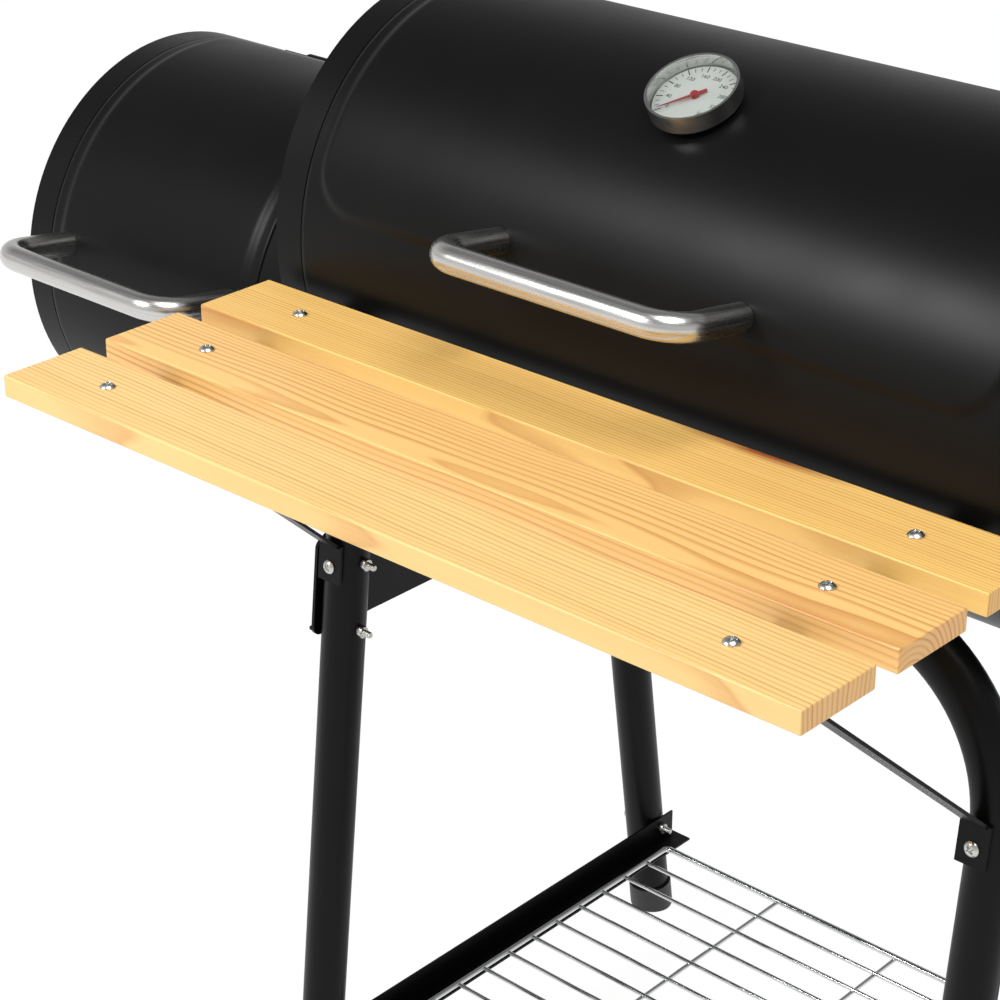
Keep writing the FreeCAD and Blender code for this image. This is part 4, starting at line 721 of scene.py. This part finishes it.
def nutMesh(length, sizes):
    flats, bore, chamfer = sizes["flatsMm"], sizes["boreRadiusMm"], sizes["chamferMm"]
    outside = flats * hexOutside
    rings = [(bore, 0), (flats / 2, 0), (outside, chamfer), (outside, length - chamfer), (flats / 2, length),
             (bore, length), (bore, 0)]

    def rule(radius, height, angle):
        if radius > bore:
            radius = min(radius, hexReach(flats, angle))
            if 0 < height < length:
                height += chamferLift(sizes, angle) * (1 if height < length / 2 else -1)
        return (radius * math.cos(angle) * mm, radius * math.sin(angle) * mm, height * mm)

    return turnedPart("hexNut", rings, sizes["steps"], rule)


def fastenerTree():
    tree, size, node = newTree("placedFasteners", {"Fastener": "Object", "Turn Spread": "Float",
                                                   "Seed": "Int"})
    along = node("GeometryNodeInputNamedAttribute", {"Name": "along"}, data_type="FLOAT_VECTOR")
    facing = node("FunctionNodeAlignRotationToVector", {"Vector": along}, axis="Z")
    shape = node("GeometryNodeObjectInfo", {"Object": size["Fastener"], "As Instance": True})
    placed = node("GeometryNodeInstanceOnPoints", {
        "Points": size["Geometry"], "Instance": shape.outputs["Geometry"], "Rotation": facing})
    turn = node("FunctionNodeRandomValue", {"Min": 0.0, "Max": size["Turn Spread"], "Seed": size["Seed"]},
                data_type="FLOAT")
    roll = node("ShaderNodeCombineXYZ", [0.0, 0.0, turn.outputs[1]])
    rolled = node("GeometryNodeRotateInstances", {"Instances": placed, "Rotation": roll, "Local Space": True})
    return endTree(tree, node, rolled, size, smooth=False)


fastenerPlaces = fastenerTree()
sharpDeg = 38.0


def makeFasteners(name, node, shapeMesh, sizes):
    # Equal lengths share one shape; the node's sets are joined into one piece.
    zinc = finishes["zincPlatedSteel"]
    groups = {}
    for part in looseParts(node):
        groups.setdefault(round(part["length"] / mm, 1), []).append(part)
    whole = bmesh.new()
    for index, (length, parts) in enumerate(sorted(groups.items())):
        shape = bpy.data.objects.new(name + "Shape", shapeMesh(length, sizes))
        scene.collection.objects.link(shape)
        start = pointMesh(name + "Points", [part["start"] for part in parts],
                          along=[part["along"] for part in parts])
        values = {"Fastener": shape, "Turn Spread": sizes["turnSpread"], "Seed": sizes["seed"] + index}
        placed = grow(name + "Set", fastenerPlaces, values, zinc, start)
        whole.from_mesh(placed.data)
        for spent in (placed, shape):
            bpy.data.objects.remove(spent)
    mesh = bpy.data.meshes.new(name)
    whole.to_mesh(mesh)
    whole.free()
    mesh.materials.append(zinc)
    piece = bpy.data.objects.new(name, mesh)
    scene.collection.objects.link(piece)
    mesh.shade_smooth()
    mesh.set_sharp_from_angle(angle=math.radians(sharpDeg))
    settle(piece, "smoker_frame", "zinc_steel", node)


makeFasteners("shelfScrews", "shelf_screws", screwMesh, shelfScrew)
makeFasteners("frameBolts", "frame_bolts", boltMesh, frameBolt)
makeFasteners("drumBolts", "drum_bolts", boltMesh, drumBolt)
makeFasteners("boltNuts", "nuts", nutMesh, boltNut)
makeFasteners("shelfNuts", "shelf_nuts", nutMesh, shelfNut)
makeFasteners("axleNuts", "axle_nuts", nutMesh, axleNut)
print("fasteners made")


# Wire grates and rack.
def wireTree():
    tree, size, node = newTree("weldedWireGrid", {
        "Centre": "Vector", "Width": "Float", "Depth": "Float", "Rim Wire": "Float", "Bar Wire": "Float",
        "Corner": "Float", "Corner Steps": "Int", "Rim Sides": "Int", "Bar Sides": "Int",
        "Across Count": "Int", "Across Drop": "Float", "Long Count": "Int", "Long Drop": "Float"})
    outline = node("GeometryNodeCurvePrimitiveQuadrilateral", {"Width": size["Width"],
                                                               "Height": size["Depth"]})
    bent = node("GeometryNodeFilletCurve", {"Curve": outline, "Radius": size["Corner"],
                                            "Count": size["Corner Steps"]}, mode="POLY")
    rimRing = node("GeometryNodeCurvePrimitiveCircle", {"Resolution": size["Rim Sides"],
                                                        "Radius": size["Rim Wire"]})
    rim = node("GeometryNodeCurveToMesh", {"Curve": bent, "Profile Curve": rimRing})
    barRing = node("GeometryNodeCurvePrimitiveCircle", {"Resolution": size["Bar Sides"],
                                                        "Radius": size["Bar Wire"]})
    joined = node("GeometryNodeJoinGeometry")
    tree.links.new(rim.outputs[0], joined.inputs[0])
    for side, span, run, count, drop in (
            (0, size["Width"], size["Depth"], size["Across Count"], size["Across Drop"]),
            (1, size["Depth"], size["Width"], size["Long Count"], size["Long Drop"])):
        gaps = node("ShaderNodeMath", [count, 1.0], operation="ADD")
        pitch = node("ShaderNodeMath", [span, gaps], operation="DIVIDE")
        halfSpan = node("ShaderNodeMath", [span, -0.5, pitch], operation="MULTIPLY_ADD")
        halfRun = node("ShaderNodeMath", [run, 0.5], operation="MULTIPLY")
        back = node("ShaderNodeMath", [run, -0.5], operation="MULTIPLY")
        down = node("ShaderNodeMath", [drop, -1.0], operation="MULTIPLY")
        first = node("ShaderNodeCombineXYZ", [halfSpan, 0.0, down] if side == 0 else [0.0, halfSpan, down])
        step = node("ShaderNodeCombineXYZ", [pitch, 0.0, 0.0] if side == 0 else [0.0, pitch, 0.0])
        places = node("GeometryNodeMeshLine", {"Count": count, "Start Location": first, "Offset": step})
        ends = [node("ShaderNodeCombineXYZ", [0.0, end, 0.0] if side == 0 else [end, 0.0, 0.0])
                for end in (back, halfRun)]
        line = node("GeometryNodeCurvePrimitiveLine", {"Start": ends[0], "End": ends[1]})
        bar = node("GeometryNodeCurveToMesh", {"Curve": line, "Profile Curve": barRing, "Fill Caps": True})
        bars = node("GeometryNodeInstanceOnPoints", {"Points": places, "Instance": bar})
        tree.links.new(bars.outputs[0], joined.inputs[0])
    moved = node("GeometryNodeTransform", {"Geometry": joined, "Translation": size["Centre"]})
    return endTree(tree, node, moved, size)


def makeWire(name, node, sizes, tree):
    low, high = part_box(node)
    rim, bar = sizes["rimMm"] * mm, sizes["barMm"] * mm
    centre = ((low.x + high.x) / 2, (low.y + high.y) / 2, high.z - rim)
    width, depth = high.x - low.x - 2 * rim, high.y - low.y - 2 * rim
    across, longways = sizes["acrossCount"], sizes["longCount"]
    if sizes["acrossPitchMm"]:
        across = int(width / (sizes["acrossPitchMm"] * mm)) - 1
    if sizes["longPitchMm"]:
        longways = int(depth / (sizes["longPitchMm"] * mm)) - 1
    values = {"Centre": centre, "Width": width, "Depth": depth, "Rim Wire": rim, "Bar Wire": bar,
              "Corner": sizes["cornerMm"] * mm, "Corner Steps": sizes["cornerSteps"],
              "Rim Sides": sizes["rimSides"], "Bar Sides": sizes["barSides"],
              "Across Count": across, "Across Drop": sizes["acrossDropMm"] * mm,
              "Long Count": longways, "Long Drop": sizes["longDropMm"] * mm}
    return settle(grow(name, tree, values, finishes["chromePlatedWire"]), "smoker_frame", "chrome_wire", node)


# A pitch of 0 leaves the bars' count as given.
foodGrate = {"rimMm": 3.0, "rimSides": 12, "barMm": 2.0, "barSides": 8, "cornerMm": 6.0, "cornerSteps": 5,
             "acrossPitchMm": 15.0, "acrossCount": 0, "acrossDropMm": 0.0,
             "longPitchMm": 0, "longCount": 1, "longDropMm": 2.0}
storageRack = dict(foodGrate, acrossPitchMm=0, acrossCount=3, acrossDropMm=2.0, longPitchMm=34.0,
                   longDropMm=0.0)
wireGrid = wireTree()
for name, node in (("cookingGrateLeft", "cooking_grate_left"), ("cookingGrateMiddle", "cooking_grate_middle"),
                   ("cookingGrateRight", "cooking_grate_right"), ("charcoalGrate", "charcoal_grate")):
    makeWire(name, node, foodGrate, wireGrid)
makeWire("storageRack", "bottom_rack", storageRack, wireGrid)
print("wire grates and rack made")


# Thermometer dial.
gaugeDial = {"radiusMm": 33.0, "tickCount": 28, "longEvery": 3, "longGrowth": 0.7, "tickMm": (0.5, 3.4, 0.25),
             "tickRingMm": 29.0, "sweepDeg": 270.0, "numberMm": 5.0, "numberRingMm": 21.5, "inkMm": 0.1,
             "degreesStep": 40, "faceMm": 2.7, "thickMm": 0.6, "boreMm": 2.0, "steps": 64}


def dialTree():
    tree, size, node = newTree("dialMarks", {
        "Count": "Int", "Ring": "Float", "Start": "Float", "Sweep": "Float", "Mark": "Vector",
        "Long Every": "Float", "Long Growth": "Float"})
    points = node("GeometryNodeMeshLine", {"Count": size["Count"]})
    index = node("GeometryNodeInputIndex")
    gaps = node("ShaderNodeMath", [size["Count"], 1.0], operation="SUBTRACT")
    share = node("ShaderNodeMath", [index, gaps], operation="DIVIDE")
    swept = node("ShaderNodeMath", [share, size["Sweep"]], operation="MULTIPLY")
    angle = node("ShaderNodeMath", [size["Start"], swept], operation="SUBTRACT")
    cosine = node("ShaderNodeMath", [angle], operation="COSINE")
    sine = node("ShaderNodeMath", [angle], operation="SINE")
    outward = node("ShaderNodeCombineXYZ", [cosine, sine, 0.0])
    place = node("ShaderNodeVectorMath", {"Vector": outward, "Scale": size["Ring"]}, operation="SCALE")
    ring = node("GeometryNodeSetPosition", {"Geometry": points, "Position": place})
    upright = node("ShaderNodeMath", [angle, math.pi / 2], operation="SUBTRACT")
    turn = node("ShaderNodeCombineXYZ", [0.0, 0.0, upright])
    afterLong = node("ShaderNodeMath", [index, size["Long Every"]], operation="MODULO")
    long = node("ShaderNodeMath", [afterLong, 0.5], operation="LESS_THAN")
    grown = node("ShaderNodeMath", [long, size["Long Growth"], 1.0], operation="MULTIPLY_ADD")
    marks = node("GeometryNodeInstanceOnPoints", {
        "Points": ring, "Instance": node("GeometryNodeMeshCube", {"Size": size["Mark"]}),
        "Rotation": turn, "Scale": node("ShaderNodeCombineXYZ", [grown, grown, 1.0])})
    return endTree(tree, node, marks, size, smooth=False)


def makeDial(sizes):
    turn = joints["thermometer_needle_turn"]
    normal = -Vector(turn["axis"]).normalized()
    pivot = Vector(turn["pos_m"])
    floor = pivot + normal * (sizes["faceMm"] * mm)
    side = Vector((1.0, 0.0, 0.0))
    up = normal.cross(side)
    base = Matrix((side, up, normal)).transposed().to_4x4()
    base.translation = floor
    start = math.radians(90 + sizes["sweepDeg"] / 2)
    bore, edge, thick = sizes["boreMm"], sizes["radiusMm"], sizes["thickMm"]
    rings = [(bore, 0), (edge - thick, 0), (edge, -thick / 2), (edge, -thick), (bore, -thick), (bore, 0)]
    plateMesh = turnedPart("gaugeDialPlate", rings, sizes["steps"], lambda radius, height, angle: (
        radius * math.cos(angle) * mm, radius * math.sin(angle) * mm, height * mm))
    plateMesh.materials.append(finishes["whiteDialEnamel"])
    plateMesh.transform(base)
    plate = bpy.data.objects.new("gaugeDialPlate", plateMesh)
    scene.collection.objects.link(plate)
    settle(plate, "main_lid", None)
    values = {"Count": sizes["tickCount"], "Ring": sizes["tickRingMm"] * mm, "Start": start,
              "Sweep": math.radians(sizes["sweepDeg"]),
              "Mark": tuple(value * mm for value in sizes["tickMm"]),
              "Long Every": float(sizes["longEvery"]), "Long Growth": sizes["longGrowth"]}
    marks = grow("gaugeDialMarks", dialTree(), values, finishes["blackDialInk"])
    marks.data.transform(base)
    settle(marks, "main_lid", None)
    numbers = bmesh.new()
    longCount = (sizes["tickCount"] - 1) // sizes["longEvery"] + 1
    for index in range(longCount):
        angle = start - math.radians(sizes["sweepDeg"]) * index / (longCount - 1)
        text = bpy.data.curves.new("dialNumber", "FONT")
        text.body = str(index * sizes["degreesStep"])
        text.size = sizes["numberMm"] * mm
        text.align_x, text.align_y = "CENTER", "CENTER"
        text.extrude = sizes["inkMm"] * mm
        holder = bpy.data.objects.new("dialNumber", text)
        scene.collection.objects.link(holder)
        depsgraph = bpy.context.evaluated_depsgraph_get()
        figure = bpy.data.meshes.new_from_object(holder.evaluated_get(depsgraph))
        outward = Vector((math.cos(angle), math.sin(angle), 0.0))
        figure.transform(Matrix.Translation(outward * sizes["numberRingMm"] * mm))
        numbers.from_mesh(figure)
        bpy.data.objects.remove(holder)
    mesh = bpy.data.meshes.new("gaugeDialNumbers")
    numbers.to_mesh(mesh)
    numbers.free()
    mesh.transform(base)
    mesh.materials.append(finishes["blackDialInk"])
    figures = bpy.data.objects.new("gaugeDialNumbers", mesh)
    scene.collection.objects.link(figures)
    settle(figures, "main_lid", None)


makeDial(gaugeDial)
print("gauge dial made")


# Floor, light and camera.
studio = {"floorHalfM": 14.0, "floorColour": "#505050", "floorGlow": 0.96, "worldColour": "#ffffff",
          "horizonStrength": 0.66, "zenithStrength": 0.2, "fadeFrom": 0.2, "fadeTo": 0.75}
floorMesh = pointMesh("studioFloor", [])
floorMesh.from_pydata([(x * studio["floorHalfM"], y * studio["floorHalfM"], 0.0)
                       for x, y in ((-1, -1), (1, -1), (1, 1), (-1, 1))], [], [(0, 1, 2, 3)])
floor = bpy.data.objects.new("studioFloor", floorMesh)
scene.collection.objects.link(floor)
floorPaint, _, _ = startMaterial("paleStudioFloor", {
    "Base Color": toLinear(studio["floorColour"]), "Roughness": 0.9, "Specular IOR Level": 0.1,
    "Emission Color": (1, 1, 1, 1), "Emission Strength": studio["floorGlow"]})
floorMesh.materials.append(floorPaint)

world = bpy.data.worlds.new("studioWorld")
scene.world = world
world.use_nodes = True
skyTree = world.node_tree
sky = skyTree.nodes["Background"]
sky.inputs["Color"].default_value = toLinear(studio["worldColour"])
skyCoord = addNode(skyTree, "ShaderNodeTexCoord")
skyPlace = addNode(skyTree, "ShaderNodeSeparateXYZ", [skyCoord.outputs["Generated"]])
skyFade = addNode(skyTree, "ShaderNodeMapRange", {
    "Value": skyPlace.outputs[2], "From Min": studio["fadeFrom"], "From Max": studio["fadeTo"],
    "To Min": studio["horizonStrength"], "To Max": studio["zenithStrength"]}, interpolation_type="SMOOTHSTEP")
skyTree.links.new(skyFade.outputs[0], sky.inputs["Strength"])

softBoxes = {
    "keyBox": {"at": (1.3, -0.6, 3.9), "aim": (0.2, -0.2, 0.8), "size": (2.0, 2.0), "power": 79.0},
    "frontLeftBox": {"at": (-1.05, -2.25, 2.6), "aim": (0.3, -0.1, 0.9), "size": (0.9, 0.75), "power": 58.0}}
for name, sizes in softBoxes.items():
    lamp = bpy.data.lights.new(name, "AREA")
    lamp.shape, lamp.size, lamp.size_y = "RECTANGLE", sizes["size"][0], sizes["size"][1]
    lamp.energy = sizes["power"]
    holder = bpy.data.objects.new(name, lamp)
    holder.location = sizes["at"]
    holder.rotation_euler = (Vector(sizes["aim"]) - Vector(sizes["at"])).to_track_quat("-Z", "Y").to_euler()
    scene.collection.objects.link(holder)
scene.view_settings.view_transform = "Standard"

cameraValues = {"fromSlatM": (1.48465, -1.07937, 0.76017), "pitchDeg": 64.3364, "turnDeg": 42.3206,
                "lensMm": 94.01, "filmMm": 36.0, "farM": 100.0}
cameraData = bpy.data.cameras.new("camera")
cameraData.lens = cameraValues["lensMm"]
cameraData.sensor_width = cameraValues["filmMm"]
cameraData.clip_end = cameraValues["farM"]
camera = bpy.data.objects.new("camera", cameraData)
camera.location = Vector((slatLow.x, slatLow.y, slatHigh.z)) + Vector(cameraValues["fromSlatM"])
camera.rotation_euler = (math.radians(cameraValues["pitchDeg"]), 0.0, math.radians(cameraValues["turnDeg"]))
scene.collection.objects.link(camera)
scene.camera = camera
print("studio made")
